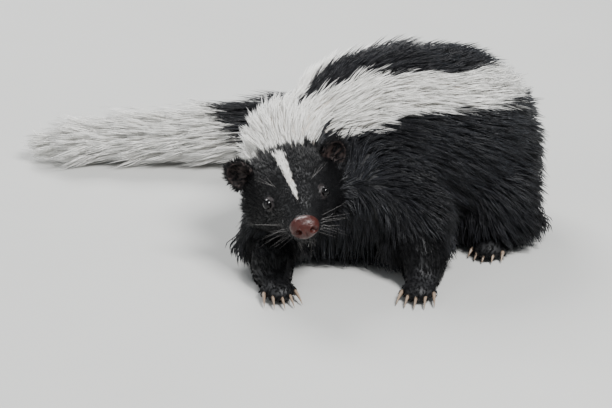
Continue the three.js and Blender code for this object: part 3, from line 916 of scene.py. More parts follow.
def eye_direction(side: int) -> np.ndarray:
    """Which way an eye looks out of the head.

    Args:
        side: 1 for the left eye and -1 for the right.

    Returns:
        A direction in the maker's frame.
    """
    return unit(np.array([math.cos(0.75), side * math.sin(0.75), 0.12]) @ HEAD.axes)


@dataclass(frozen=True)
class Markings:
    """The white marks: the blaze, the nape, a stripe down each side of the back, and the tail."""

    blaze_from: float = -17.5
    blaze_to: float = 16.5
    blaze_width: float = 3.1
    blaze_lean: float = -0.13
    cap_end: float = -27.5
    cap_bend: float = 0.03
    cap_half_width: float = 34
    edge_blur: float = 4
    end_blur: float = 0.04
    edge_shares: tuple[float, ...] = (0.0, 0.05, 0.11, 0.185, 0.25, 0.5)
    inner_degrees: tuple[float, ...] = (-2.0, -2.0, 16.0, 29.0, 24.0, 26.0)
    outer_degrees: tuple[float, ...] = (84.0, 82.0, 74.0, 60.0, 53.0, 51.0)
    stripe_end: float = 0.48
    tail_from: float = 0.715
    tail_top: float = 0.035

    def white(
        self, q: np.ndarray, share: np.ndarray, angle: np.ndarray, head: np.ndarray
    ) -> np.ndarray:
        """How white the coat is.

        Args:
            q: rows of points in the head frame.
            share: how far along the body each is.
            angle: how far round it each is.
            head: how much each belongs to the head.

        Returns:
            Numbers from 0, black, to 1, white.
        """
        t = np.clip((q[:, 0] - self.blaze_from) / (self.blaze_to - self.blaze_from), 0, 1)
        half = self.blaze_width * (1 - t) ** 0.7 + 0.15
        middle = self.blaze_lean * (self.blaze_to - q[:, 0])
        blaze = step(0.5, -0.4, np.abs(q[:, 1] - middle) - half) * (q[:, 2] > 0)
        blaze = blaze * step(self.blaze_from - 1.5, self.blaze_from, q[:, 0])
        blaze = blaze * step(self.blaze_to + 1, self.blaze_to - 1, q[:, 0])
        cap = self.cap_end - self.cap_bend * np.minimum(np.abs(q[:, 1]), self.cap_half_width) ** 2
        behind = step(cap + 1.2, cap - 1.2, q[:, 0])
        nape = behind * step(-5, 3, q[:, 2]) * step(0.07, 0.05, share)
        turn = np.degrees(np.abs(angle))
        inner = np.interp(share, self.edge_shares, self.inner_degrees)
        outer = np.interp(share, self.edge_shares, self.outer_degrees)
        blur, end = self.edge_blur, self.stripe_end
        stripe = step(inner - blur, inner + blur, turn) * step(outer + blur, outer - blur, turn)
        stripe = stripe * step(0.05, 0.07, share) * (1 - head * (1 - behind))
        stripe = stripe * step(end + self.end_blur, end - self.end_blur, share)
        begin = self.tail_from + self.tail_top * np.cos(angle)
        tail = step(begin - 0.02, begin + 0.02, share)
        return np.clip(np.maximum(np.maximum(blaze, np.maximum(nape, stripe)), tail), 0, 1)


# Finishes


class Nodes:
    """A short way to add and join the nodes of one material or tree."""

    def __init__(self, tree: bpy.types.NodeTree) -> None:
        """Clears the tree.

        Args:
            tree: the tree to fill.
        """
        self.tree = tree
        tree.nodes.clear()

    def add(self, kind: str, **settings: object) -> bpy.types.Node:
        """A new node.

        Args:
            kind: the node's type name.
            settings: values of its properties.

        Returns:
            The node.
        """
        node = self.tree.nodes.new(kind)
        for name, value in settings.items():
            setattr(node, name, value)
        return node

    def join(self, source: bpy.types.NodeSocket, target: bpy.types.NodeSocket) -> None:
        """Links source to target."""
        self.tree.links.new(source, target)


def mixed(
    n: Nodes,
    a: tuple[float, float, float],
    b: tuple[float, float, float],
    factor: bpy.types.NodeSocket,
) -> bpy.types.NodeSocket:
    """A mix of two colours.

    Args:
        n: the tree's nodes.
        a: the colour at 0.
        b: the colour at 1.
        factor: how much of b.

    Returns:
        The mixed colour's socket.
    """
    node = n.add("ShaderNodeMix", data_type="RGBA")
    n.join(factor, node.inputs["Factor"])
    node.inputs[6].default_value = (*a, 1)
    node.inputs[7].default_value = (*b, 1)
    return node.outputs[2]


@dataclass(frozen=True)
class CoatFinish:
    """Hair that is black or white by the marks, with lighter and darker locks."""

    black: tuple[float, float, float] = (0.004, 0.004, 0.005)
    black_tip: tuple[float, float, float] = (0.013, 0.013, 0.016)
    white: tuple[float, float, float] = (0.95, 0.94, 0.91)
    white_root: tuple[float, float, float] = (0.84, 0.82, 0.77)
    roughness: float = 0.45
    specular: float = 0.4
    sheen: float = 0.04

    def material(self, name: str) -> bpy.types.Material:
        """The finish as a material.

        Args:
            name: the material's name.

        Returns:
            The material.
        """
        material = bpy.data.materials.new(name)
        material.use_nodes = True
        n = Nodes(material.node_tree)
        marks = n.add("ShaderNodeAttribute", attribute_name="white")
        tone = n.add("ShaderNodeAttribute", attribute_name="tone")
        along = n.add("ShaderNodeAttribute", attribute_name="strand")
        split = n.add("ShaderNodeSeparateXYZ")
        n.join(along.outputs["Vector"], split.inputs[0])
        dark = mixed(n, self.black, self.black_tip, tone.outputs["Fac"])
        pale = mixed(n, self.white_root, self.white, split.outputs["X"])
        both = n.add("ShaderNodeMix", data_type="RGBA")
        n.join(marks.outputs["Fac"], both.inputs["Factor"])
        n.join(dark, both.inputs[6])
        n.join(pale, both.inputs[7])
        shader = n.add("ShaderNodeBsdfPrincipled")
        n.join(both.outputs[2], shader.inputs["Base Color"])
        shader.inputs["Roughness"].default_value = self.roughness
        shader.inputs["Specular IOR Level"].default_value = self.specular
        shader.inputs["Sheen Weight"].default_value = self.sheen
        shader.inputs["Sheen Roughness"].default_value = 0.35
        shader.inputs["Sheen Tint"].default_value = (0.75, 0.85, 1.0, 1.0)
        out = n.add("ShaderNodeOutputMaterial")
        n.join(shader.outputs[0], out.inputs[0])
        return material


FACE_COAT = CoatFinish(
    black=(0.002, 0.002, 0.0024),
    black_tip=(0.005, 0.005, 0.006),
    roughness=0.5,
    specular=0.2,
    sheen=0.0,
)


@dataclass(frozen=True)
class SkinFinish:
    """The skin: as dark or pale as the coat over it, and a very dark brown where it is bare."""

    black: tuple[float, float, float] = (0.008, 0.008, 0.009)
    white: tuple[float, float, float] = (0.55, 0.50, 0.44)
    bare: tuple[float, float, float] = (0.010, 0.006, 0.006)
    roughness: float = 0.6

    def material(self, name: str) -> bpy.types.Material:
        """The finish as a material.

        Args:
            name: the material's name.

        Returns:
            The material.
        """
        material = bpy.data.materials.new(name)
        material.use_nodes = True
        n = Nodes(material.node_tree)
        marks = n.add("ShaderNodeAttribute", attribute_name="white")
        bare = n.add("ShaderNodeAttribute", attribute_name="bare")
        coat = mixed(n, self.black, self.white, marks.outputs["Fac"])
        both = n.add("ShaderNodeMix", data_type="RGBA")
        n.join(bare.outputs["Fac"], both.inputs["Factor"])
        n.join(coat, both.inputs[6])
        both.inputs[7].default_value = (*self.bare, 1)
        place = n.add("ShaderNodeTexCoord")
        grain = n.add("ShaderNodeTexNoise")
        grain.inputs["Scale"].default_value = 900
        n.join(place.outputs["Object"], grain.inputs["Vector"])
        bump = n.add("ShaderNodeBump")
        bump.inputs["Strength"].default_value = 0.35
        bump.inputs["Distance"].default_value = 0.0004
        n.join(grain.outputs["Fac"], bump.inputs["Height"])
        shader = n.add("ShaderNodeBsdfPrincipled")
        n.join(both.outputs[2], shader.inputs["Base Color"])
        n.join(bump.outputs[0], shader.inputs["Normal"])
        shader.inputs["Roughness"].default_value = self.roughness
        out = n.add("ShaderNodeOutputMaterial")
        n.join(shader.outputs[0], out.inputs[0])
        return material


@dataclass(frozen=True)
class PlainFinish:
    """A finish of one colour varied by fine grain, with its own gloss."""

    colour: tuple[float, float, float]
    darker: tuple[float, float, float]
    roughness: float
    grain: float = 400
    bump: float = 0.3
    depth: float = 0.0003
    coat: float = 0.0
    cells: bool = False
    specular: float = 0.5

    def material(self, name: str) -> bpy.types.Material:
        """The finish as a material.

        Args:
            name: the material's name.

        Returns:
            The material.
        """
        material = bpy.data.materials.new(name)
        material.use_nodes = True
        n = Nodes(material.node_tree)
        place = n.add("ShaderNodeTexCoord")
        tint = n.add("ShaderNodeTexNoise")
        tint.inputs["Scale"].default_value = self.grain * 0.4
        n.join(place.outputs["Object"], tint.inputs["Vector"])
        colour = mixed(n, self.darker, self.colour, tint.outputs["Fac"])
        pattern = n.add("ShaderNodeTexVoronoi" if self.cells else "ShaderNodeTexNoise")
        pattern.inputs["Scale"].default_value = self.grain
        n.join(place.outputs["Object"], pattern.inputs["Vector"])
        bump = n.add("ShaderNodeBump")
        bump.inputs["Strength"].default_value = self.bump
        bump.inputs["Distance"].default_value = self.depth
        n.join(pattern.outputs["Distance" if self.cells else "Fac"], bump.inputs["Height"])
        shader = n.add("ShaderNodeBsdfPrincipled")
        n.join(colour, shader.inputs["Base Color"])
        n.join(bump.outputs[0], shader.inputs["Normal"])
        shader.inputs["Roughness"].default_value = self.roughness
        shader.inputs["Coat Weight"].default_value = self.coat
        shader.inputs["Specular IOR Level"].default_value = self.specular
        out = n.add("ShaderNodeOutputMaterial")
        n.join(shader.outputs[0], out.inputs[0])
        return material


@dataclass
class Finishes:
    """Every material of the animal, made once."""

    coat: bpy.types.Material = field(init=False)
    face_coat: bpy.types.Material = field(init=False)
    skin: bpy.types.Material = field(init=False)
    nose: bpy.types.Material = field(init=False)
    eye: bpy.types.Material = field(init=False)
    claw: bpy.types.Material = field(init=False)
    ear: bpy.types.Material = field(init=False)
    whisker: bpy.types.Material = field(init=False)

    def __post_init__(self) -> None:
        """Makes the materials."""
        self.coat = CoatFinish().material("coat")
        self.face_coat = FACE_COAT.material("face_coat")
        self.skin = SkinFinish().material("skin")
        self.nose = PlainFinish((0.062, 0.010, 0.006), (0.024, 0.005, 0.0035), 0.34, 1500, 0.6,
                                0.0003, 0.08, True, 0.35).material("nose_skin")
        self.eye = PlainFinish((0.004, 0.0035, 0.0035), (0.002, 0.002, 0.002), 0.05, 80, 0.0,
                               0.0001, specular=0.3).material("eye")
        self.claw = PlainFinish((0.34, 0.26, 0.19), (0.16, 0.11, 0.08), 0.4, 300, 0.2,
                                0.0002).material("claw")
        self.ear = PlainFinish((0.035, 0.018, 0.014), (0.012, 0.008, 0.008), 0.65, 700,
                               0.4).material("ear_skin")
        self.whisker = PlainFinish((0.26, 0.25, 0.24), (0.06, 0.055, 0.055), 0.45, 300,
                                   0.0).material("whisker")


# Coat


class TuftKind(Enum):
    """How many rings a blade of hair has: long hair bends, short hair hardly."""

    LONG = 3
    SHORT = 2


@dataclass
class Tufts:
    """A few small clusters of tapered hairs, one unit long, that the coat repeats."""

    kind: TuftKind
    variants: int = 6
    hairs: int = 5
    seed: int = 5

    def collection(self) -> bpy.types.Collection:
        """The clusters in a collection of their own.

        Returns:
            The collection, not linked to the scene.
        """
        group = bpy.data.collections.new(f"tufts_{self.kind.name.lower()}")
        rng = np.random.default_rng(self.seed + self.kind.value)
        for i in range(self.variants):
            points, faces, strand = self._cluster(rng)
            mesh = bpy.data.meshes.new(f"tuft_{self.kind.name.lower()}_{i}")
            mesh.from_pydata(points.tolist(), [], faces)
            mesh.polygons.foreach_set("use_smooth", np.ones(len(faces), bool))
            store = mesh.attributes.new("strand", "FLOAT_VECTOR", "POINT")
            store.data.foreach_set("vector", strand.astype(np.float32).ravel())
            group.objects.link(bpy.data.objects.new(mesh.name, mesh))
        return group

    def _cluster(
        self, rng: np.random.Generator
    ) -> tuple[np.ndarray, list[tuple[int, ...]], np.ndarray]:
        """One cluster of hairs whose tips draw together.

        Args:
            rng: the source of its variation.

        Returns:
            Its points, its faces, and for each point how far along and across it is.
        """
        points, faces, strand = [], [], []
        rings = self.kind.value
        lean = rng.uniform(-1.2, 1.2)
        for hair in range(self.hairs):
            root = np.array([rng.uniform(-0.16, 0.16), rng.uniform(-2.4, 2.4), -0.12])
            tip_side = 0.55 * root[1] + 0.8 * lean + rng.uniform(-1.0, 1.0)
            size = rng.uniform(0.65, 1.05)
            rise = rng.uniform(0.7, 1.12)
            start = len(points)
            for i in range(rings + 1):
                t = i / rings
                x = root[0] + size * t
                y = root[1] + (tip_side - root[1]) * t ** 1.5
                z = root[2] + rise * math.sin(t * math.pi / 2) ** 0.9
                if i == rings:
                    points.append((x, y, z))
                    strand.append((1.0, hair / self.hairs, 0))
                    continue
                half = 0.5 * (0.75, 1.0, 0.75)[i] if rings == 3 else 0.5 * (0.9, 0.8)[i]
                for dy, dz in ((-half, 0), (half, 0), (0, 0.05)):
                    points.append((x, y + dy, z + dz))
                    strand.append((t, hair / self.hairs, 0))
            for i in range(rings):
                for k in range(3):
                    a, b = start + 3 * i + k, start + 3 * i + (k + 1) % 3
                    if i == rings - 1:
                        faces.append((a, b, start + 3 * rings))
                    else:
                        faces.append((a, b, b + 3, a + 3))
        return np.array(points), faces, np.array(strand)


@dataclass
class CoatTree:
    """The tree of geometry nodes that grows tufts on a patch of skin."""

    name: str = "grow_coat"

    def build(self) -> bpy.types.NodeTree:
        """Makes the tree.

        Returns:
            The tree, with named inputs for density, tufts, seed, material and wander.
        """
        tree = bpy.data.node_groups.new(self.name, "GeometryNodeTree")
        face = tree.interface
        face.new_socket("Skin patch", in_out="INPUT", socket_type="NodeSocketGeometry")
        face.new_socket("Tufts per square metre", in_out="INPUT", socket_type="NodeSocketFloat")
        face.new_socket("Tufts", in_out="INPUT", socket_type="NodeSocketCollection")
        face.new_socket("Seed", in_out="INPUT", socket_type="NodeSocketInt")
        face.new_socket("Coat", in_out="INPUT", socket_type="NodeSocketMaterial")
        face.new_socket("Wander", in_out="INPUT", socket_type="NodeSocketFloat")
        face.new_socket("Hair", in_out="OUTPUT", socket_type="NodeSocketGeometry")
        n = Nodes(tree)
        into = n.add("NodeGroupInput")
        out = n.add("NodeGroupOutput")
        scatter = n.add("GeometryNodeDistributePointsOnFaces", distribute_method="RANDOM")
        n.join(into.outputs[0], scatter.inputs["Mesh"])
        per = n.add("ShaderNodeMath", operation="MULTIPLY")
        n.join(self._named(n, "density", "FLOAT"), per.inputs[0])
        n.join(into.outputs[1], per.inputs[1])
        n.join(per.outputs[0], scatter.inputs["Density"])
        n.join(into.outputs[3], scatter.inputs["Seed"])
        tone = self._random(n, "FLOAT", (0.0,), (1.0,), 11)
        keep = n.add("GeometryNodeStoreNamedAttribute", data_type="FLOAT", domain="POINT")
        keep.inputs["Name"].default_value = "tone"
        n.join(scatter.outputs["Points"], keep.inputs["Geometry"])
        n.join(tone, keep.inputs["Value"])
        stray = n.add("ShaderNodeVectorMath", operation="ADD")
        n.join(self._named(n, "lie", "FLOAT_VECTOR"), stray.inputs[0])
        wander = n.add("ShaderNodeVectorMath", operation="SCALE")
        n.join(self._random(n, "FLOAT_VECTOR", (-1.0,) * 3, (1.0,) * 3, 12), wander.inputs[0])
        n.join(into.outputs[5], wander.inputs["Scale"])
        n.join(wander.outputs[0], stray.inputs[1])
        first = n.add("FunctionNodeAlignRotationToVector", axis="X")
        n.join(stray.outputs[0], first.inputs["Vector"])
        second = n.add("FunctionNodeAlignRotationToVector", axis="Z", pivot_axis="X")
        n.join(first.outputs[0], second.inputs["Rotation"])
        n.join(scatter.outputs["Normal"], second.inputs["Vector"])
        size = n.add("ShaderNodeCombineXYZ")
        n.join(self._named(n, "length", "FLOAT"), size.inputs[0])
        n.join(self._named(n, "width", "FLOAT"), size.inputs[1])
        n.join(self._named(n, "height", "FLOAT"), size.inputs[2])
        vary = n.add("ShaderNodeVectorMath", operation="MULTIPLY")
        n.join(size.outputs[0], vary.inputs[0])
        spread = self._random(n, "FLOAT_VECTOR", (0.72, 0.8, 0.75), (1.12, 1.25, 1.1), 13)
        n.join(spread, vary.inputs[1])
        metres = n.add("ShaderNodeVectorMath", operation="SCALE")
        n.join(vary.outputs[0], metres.inputs[0])
        metres.inputs["Scale"].default_value = 0.001
        pick = n.add("GeometryNodeCollectionInfo")
        pick.inputs["Separate Children"].default_value = True
        pick.inputs["Reset Children"].default_value = True
        n.join(into.outputs[2], pick.inputs["Collection"])
        plant = n.add("GeometryNodeInstanceOnPoints")
        plant.inputs["Pick Instance"].default_value = True
        n.join(keep.outputs[0], plant.inputs["Points"])
        n.join(pick.outputs[0], plant.inputs["Instance"])
        n.join(second.outputs[0], plant.inputs["Rotation"])
        n.join(metres.outputs[0], plant.inputs["Scale"])
        real = n.add("GeometryNodeRealizeInstances")
        n.join(plant.outputs[0], real.inputs[0])
        dress = n.add("GeometryNodeSetMaterial")
        n.join(real.outputs[0], dress.inputs["Geometry"])
        n.join(into.outputs[4], dress.inputs["Material"])
        n.join(dress.outputs[0], out.inputs[0])
        return tree

    @staticmethod
    def _named(n: Nodes, name: str, kind: str) -> bpy.types.NodeSocket:
        """The value of one of the skin's attributes.

        Args:
            n: the tree's nodes.
            name: the attribute's name.
            kind: its data type.

        Returns:
            The socket that gives it.
        """
        node = n.add("GeometryNodeInputNamedAttribute", data_type=kind)
        node.inputs["Name"].default_value = name
        return node.outputs["Attribute"]

    @staticmethod
    def _random(
        n: Nodes, kind: str, low: Sequence[float], high: Sequence[float], seed: int
    ) -> bpy.types.NodeSocket:
        """A random value for each tuft.

        Args:
            n: the tree's nodes.
            kind: FLOAT or FLOAT_VECTOR.
            low: the lowest value.
            high: the highest value.
            seed: the fixed seed.

        Returns:
            The socket that gives it.
        """
        node = n.add("FunctionNodeRandomValue", data_type=kind)
        ends = [s for s in node.inputs if s.enabled and s.name in ("Min", "Max")]
        for socket, value in zip(ends, (low, high)):
            socket.default_value = value[0] if kind == "FLOAT" else tuple(value)
        next(s for s in node.inputs if s.enabled and s.name == "Seed").default_value = seed
        return next(s for s in node.outputs if s.enabled)


@dataclass
class Coat:
    """The whole coat, grown on patches of the skin so that each piece stays light."""

    skin: bpy.types.Object
    ears: list[bpy.types.Object]
    finishes: Finishes
    most_faces: int = 185_000
    bake_patch: float = 0.003
    quick_share: float = 0.35
    first_seed: int = 40
    short_wander: float = 0.12
    long_wander: float = 0.22
    mark_contrast: float = 4
    floor_gap: float = 0.0006
    floor_spread: float = 0.0004
    pieces: list[bpy.types.Object] = field(default_factory=list)

    def grow(self) -> list[bpy.types.Object]:
        """Grows every patch.

        Returns:
            The coat's pieces.
        """
        tree = CoatTree().build()
        kinds = {kind: Tufts(kind) for kind in TuftKind}
        groups = {kind: tufts.collection() for kind, tufts in kinds.items()}
        mesh = self.skin.data
        centre = {name: self._per_face(name) for name in ("along_body", "head_share", "leg_share",
                                                          "density")}
        area = np.empty(len(mesh.polygons))
        mesh.polygons.foreach_get("area", area)
        head = centre["head_share"] > 0.5
        legs = centre["leg_share"] > 0.5
        tail = (centre["along_body"] > 0.5) & ~legs & ~head
        regions = (
            ("head_coat", head, TuftKind.SHORT),
            ("leg_coat", legs, TuftKind.SHORT),
            ("body_coat", ~head & ~legs & ~tail, TuftKind.LONG),
            ("tail_coat", tail, TuftKind.LONG),
        )
        thin = 1.0
        for name, mask, kind in regions:
            a_tuft = kinds[kind].hairs * (6 * kind.value - 3)
            expected = (centre["density"] * area * 1e6 * a_tuft)[mask]
            order = np.argsort(centre["along_body"][mask])
            running = np.cumsum(expected[order])
            parts = max(1, math.ceil(running[-1] / self.most_faces))
            which = np.minimum((running / running[-1] * parts).astype(int), parts - 1)
            faces = np.nonzero(mask)[0][order]
            for part in range(parts):
                piece = self._patch(f"{name}_{part + 1}", faces[which == part])
                grown = self._grow_on(piece, tree, groups[kind], thin)
                self.pieces.append(grown)
                log.info("%s: %d faces", grown.name, len(grown.data.polygons))
        for ear in self.ears:
            piece = self._copy(ear, ear.name.replace("cup", "coat"))
            grown = self._grow_on(piece, tree, groups[TuftKind.SHORT], thin)
            self.pieces.append(grown)
            log.info("%s: %d faces", grown.name, len(grown.data.polygons))
        for group in groups.values():
            for obj in list(group.objects):
                bpy.data.objects.remove(obj)
            bpy.data.collections.remove(group)
        return self.pieces

    def _copy(self, obj: bpy.types.Object, name: str) -> bpy.types.Object:
        """A copy of an object with its own mesh.

        Args:
            obj: the object.
            name: the copy's name.

        Returns:
            The copy, linked to the scene.
        """
        copy = bpy.data.objects.new(name, obj.data.copy())
        bpy.context.scene.collection.objects.link(copy)
        return copy

    def _per_face(self, name: str) -> np.ndarray:
        """An attribute's mean on each face of the skin.

        Args:
            name: the attribute's name.

        Returns:
            One number a face.
        """
        mesh = self.skin.data
        values = np.empty(len(mesh.vertices), np.float32)
        mesh.attributes[name].data.foreach_get("value", values)
        corner = np.empty(len(mesh.loops), np.int32)
        mesh.loops.foreach_get("vertex_index", corner)
        starts = np.empty(len(mesh.polygons), np.int32)
        mesh.polygons.foreach_get("loop_start", starts)
        sums = np.add.reduceat(values[corner], starts)
        sizes = np.diff(np.append(starts, len(corner)))
        return sums / sizes

    def _patch(self, name: str, faces: np.ndarray) -> bpy.types.Object:
        """A copy of the skin with only some of its faces.

        Args:
            name: the new object's name.
            faces: the faces to keep.

        Returns:
            The patch.
        """
        bm = bmesh.new()
        bm.from_mesh(self.skin.data)
        bm.faces.ensure_lookup_table()
        wanted = set(faces.tolist())
        bmesh.ops.delete(bm, geom=[f for f in bm.faces if f.index not in wanted], context="FACES")
        mesh = bpy.data.meshes.new(name)
        bm.to_mesh(mesh)
        bm.free()
        obj = bpy.data.objects.new(name, mesh)
        bpy.context.scene.collection.objects.link(obj)
        return obj

    def _grow_on(
        self,
        patch: bpy.types.Object,
        tree: bpy.types.NodeTree,
        tufts: bpy.types.Collection,
        thin: float,
    ) -> bpy.types.Object:
        """Grows the coat on a patch and leaves only the coat.

        Args:
            patch: the patch of skin.
            tree: the coat's tree.
            tufts: the clusters to repeat.
            thin: the share of tufts to grow.

        Returns:
            The coat as a plain mesh object with the patch's name.
        """
        modifier = patch.modifiers.new("coat", "NODES")
        modifier.node_group = tree
        keys = {item.name: item.identifier for item in tree.interface.items_tree
                if item.in_out == "INPUT"}
        modifier[keys["Tufts per square metre"]] = 1e6 * thin
        modifier[keys["Tufts"]] = tufts
        modifier[keys["Seed"]] = self.first_seed + len(self.pieces)
        short = tufts.name.endswith("short")
        modifier[keys["Coat"]] = self.finishes.face_coat if short else self.finishes.coat
        modifier[keys["Wander"]] = self.short_wander if short else self.long_wander
        graph = bpy.context.evaluated_depsgraph_get()
        mesh = bpy.data.meshes.new_from_object(patch.evaluated_get(graph), depsgraph=graph)
        name = patch.name
        bare = patch.data
        bpy.data.objects.remove(patch)
        bpy.data.meshes.remove(bare)
        mesh.name = name
        self._finish(mesh)
        obj = bpy.data.objects.new(name, mesh)
        bpy.context.scene.collection.objects.link(obj)
        return obj

    def _finish(self, mesh: bpy.types.Mesh) -> None:
        """Sharpens the marks, keeps hair off the floor, and lays out the bake's map.

        Args:
            mesh: the grown hair.
        """
        count = len(mesh.vertices)
        read = {}
        for name, width in (("white", 1), ("tone", 1), ("strand", 3), ("root_uv", 3)):
            values = np.empty(count * width, np.float32)
            key = "value" if width == 1 else "vector"
            mesh.attributes[name].data.foreach_get(key, values)
            read[name] = values.reshape(count, width) if width > 1 else values
        tone = read["tone"]
        white = np.clip((read["white"] - 0.5) * self.mark_contrast + 0.5 + (tone - 0.5), 0, 1)
        mesh.attributes["white"].data.foreach_set("value", white.astype(np.float32))
        p = np.empty(count * 3, np.float32)
        mesh.vertices.foreach_get("co", p)
        p = p.reshape(-1, 3)
        p[:, 2] = np.maximum(p[:, 2], self.floor_gap + self.floor_spread * tone)
        mesh.vertices.foreach_set("co", p.ravel())
        corner = np.empty(len(mesh.loops), np.int32)
        mesh.loops.foreach_get("vertex_index", corner)
        uv = read["root_uv"][:, :2] + read["strand"][:, :2] * self.bake_patch
        layer = mesh.uv_layers.new(name="OFBake")
        layer.data.foreach_set("uv", uv[corner].astype(np.float32).ravel())
        for name in ("lie", "length", "height", "width", "density", "bare", "along_body",
                     "head_share", "leg_share", "root_uv"):
            if name in mesh.attributes:
                mesh.attributes.remove(mesh.attributes[name])
        mesh.polygons.foreach_set("use_smooth", np.ones(len(mesh.polygons), bool))
        mesh.update()


# Eyes, nose, ears, claws and whiskers


@dataclass
class Features:
    """The bare and hard pieces: eyes, nose, ears, claws and whiskers."""

    outline: Outline
    place: Place
    finishes: Finishes
    eye_proud: float = 0.6
    eye_gap: float = 0.1
    ear_at: tuple[float, float, float] = (-30, 31, 10.5)
    ear_half_width: float = 9.3
    ear_half_height: float = 10.3
    ear_thickness: float = 4.2
    ear_turns: tuple[float, float, float] = (0.62, 0.35, 0.25)
    whisker_seed: int = 21

    def _ball(self, rows: int, columns: int) -> tuple[np.ndarray, list[tuple[int, ...]]]:
        """A ball of radius one, its poles along x.

        Args:
            rows: rings from pole to pole.
            columns: points round each ring.

        Returns:
            Its points and faces.
        """
        points = [(1.0, 0.0, 0.0)]
        for i in range(1, rows):
            a = math.pi * i / rows
            for k in range(columns):
                b = 2 * math.pi * k / columns
                points.append((math.cos(a), math.sin(a) * math.cos(b), math.sin(a) * math.sin(b)))
        points.append((-1.0, 0.0, 0.0))
        last = len(points) - 1
        faces: list[tuple[int, ...]] = []
        for k in range(columns):
            nxt = (k + 1) % columns
            faces.append((0, 1 + k, 1 + nxt))
            for i in range(rows - 2):
                a, b = 1 + i * columns + k, 1 + i * columns + nxt
                faces.append((a, a + columns, b + columns, b))
            end = 1 + (rows - 2) * columns
            faces.append((end + k, last, end + nxt))
        return np.array(points), faces

    def _dress(
        self, name: str, points: np.ndarray, faces: Sequence[Sequence[int]],
        material: bpy.types.Material, nodes: Sequence[str],
    ) -> bpy.types.Object:
        """Args:
            name: the piece's name.
            points: rows of points in millimetres.
            faces: its faces.
            material: its finish.
            nodes: the solids that it stands for.

        Returns:
            The piece.
        """
        obj = make_mesh(name, self.place.model(points), faces)
        obj.data.materials.append(material)
        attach(obj, BODY)
        if nodes:
            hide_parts(*nodes)
        log.info("%s: %d faces", name, len(obj.data.polygons))
        return obj

    def eyes(self) -> None:
        """Two wet, nearly black eyes, a little proud at the cornea."""
        ball, faces = self._ball(24, 32)
        for side, name, centre in zip((1, -1), ("left", "right"), self.outline.eyes()):
            look = eye_direction(side)
            across = unit(np.cross(Z, look))
            axes = np.array([look, across, np.cross(look, across)])
            bulge = 1 + 0.07 * np.exp(-(((1 - ball[:, 0]) / 0.35) ** 2))
            radius = self.outline.eye_radius - self.eye_gap
            middle = centre + look * self.eye_proud
            points = middle + (ball * radius * bulge[:, None]) @ axes
            self._dress(f"wet_eye_{name}", points, faces, self.finishes.eye,
                        [f"eye_{name}"])

    def nose(self) -> None:
        """The broad bare nose pad with its two comma-shaped nostrils and middle groove."""
        ball, faces = self._ball(64, 96)
        q = ball * np.array(NOSE_RADII)
        q[:, 2] += np.abs(q[:, 1]) * 0.06
        inward = np.zeros(len(q))
        for side in (1, -1):
            y, z = q[:, 1] * side, q[:, 2]
            hole = np.hypot((y - 5.0) / 1.9, (z + 0.6) / 1.7)
            slit = np.hypot((y - 7.4) / 2.0, (z + 2.0) / 0.9)
            front = step(0, 2.5, q[:, 0])
            inward += front * (3.4 * np.exp(-(hole ** 4)) + 1.6 * np.exp(-(slit ** 4)))
            inward -= front * 0.35 * np.exp(-(((hole - 1.45) / 0.35) ** 2))
        groove = np.exp(-((q[:, 1] / 0.55) ** 2)) * step(1.5, -3.5, q[:, 2]) * step(2, 5, q[:, 0])
        inward += 1.0 * groove
        q = q - unit(q) * inward[:, None]
        points = np.array(HEAD.between_eyes) + (q + np.array(NOSE_CENTRE)) @ HEAD.axes
        self._dress("nose_pad", points, faces, self.finishes.nose, ["nose"])

    def ears(self) -> list[bpy.types.Object]:
        """The two round ears, each a thin cup.

        Returns:
            The left and the right ear.
        """
        ears = []
        for side, name in ((1, "left"), (-1, "right")):
            ball, faces = self._ball(30, 44)
            rim = np.hypot(ball[:, 1], ball[:, 2])
            front = ball[:, 0] > 0
            lip = 1.4 * np.exp(-(((rim - 0.86) / 0.12) ** 2))
            dish = lip - 3.6 * np.clip(1 - rim / 0.86, 0, 1) ** 0.6
            depth = np.where(front, dish, self.ear_thickness * ball[:, 0])
            q = np.column_stack(
                [depth, ball[:, 1] * self.ear_half_width, ball[:, 2] * self.ear_half_height]
            )
            roll, yaw, tip = self.ear_turns
            turn = (Matrix.Rotation(-side * roll, 3, "X") @ Matrix.Rotation(side * yaw, 3, "Z")
                    @ Matrix.Rotation(-tip, 3, "Y"))
            axes = np.array(turn).T @ HEAD.axes
            ahead, out, up = self.ear_at
            points = HEAD.at(ahead, side * out, up) + q @ axes
            piece = self._dress(f"ear_cup_{name}", points, faces, self.finishes.ear,
                                [f"ear_{name}"])
            self._store_ear_growth(piece, ball, axes, side)
            ears.append(piece)
        return ears

    def _store_ear_growth(
        self, ear: bpy.types.Object, ball: np.ndarray, axes: np.ndarray, side: int
    ) -> None:
        """Stores what the ear's short coat grows by: dense behind and on the rim, thin inside.

        Args:
            ear: the ear's cup.
            ball: each point's place on a ball, with the cup's mouth towards x.
            axes: the ear's own directions as rows.
            side: 1 for the left ear and -1 for the right.
        """
        rim = np.hypot(ball[:, 1], ball[:, 2])
        inside = (ball[:, 0] > 0) * step(0.8, 0.7, rim)
        lie = np.column_stack([0.15 - 0.3 * (ball[:, 0] < 0), ball[:, 1], ball[:, 2] + 0.5])
        store(ear, "lie", unit(lie @ axes))
        store(ear, "length", 4.0 + 0.6 * inside)
        store(ear, "height", 1.1 + 1.5 * inside)
        store(ear, "width", np.full(len(ball), 0.3))
        store(ear, "density", 0.8 - 0.55 * inside)
        store(ear, "white", 0.0 * inside)
        u = 0.97 + 0.008 * (side + ball[:, 1])
        v = 0.75 + 0.05 * ball[:, 2] + 0.1 * (ball[:, 0] > 0)
        store(ear, "root_uv", np.column_stack([u, v, 0 * u]))

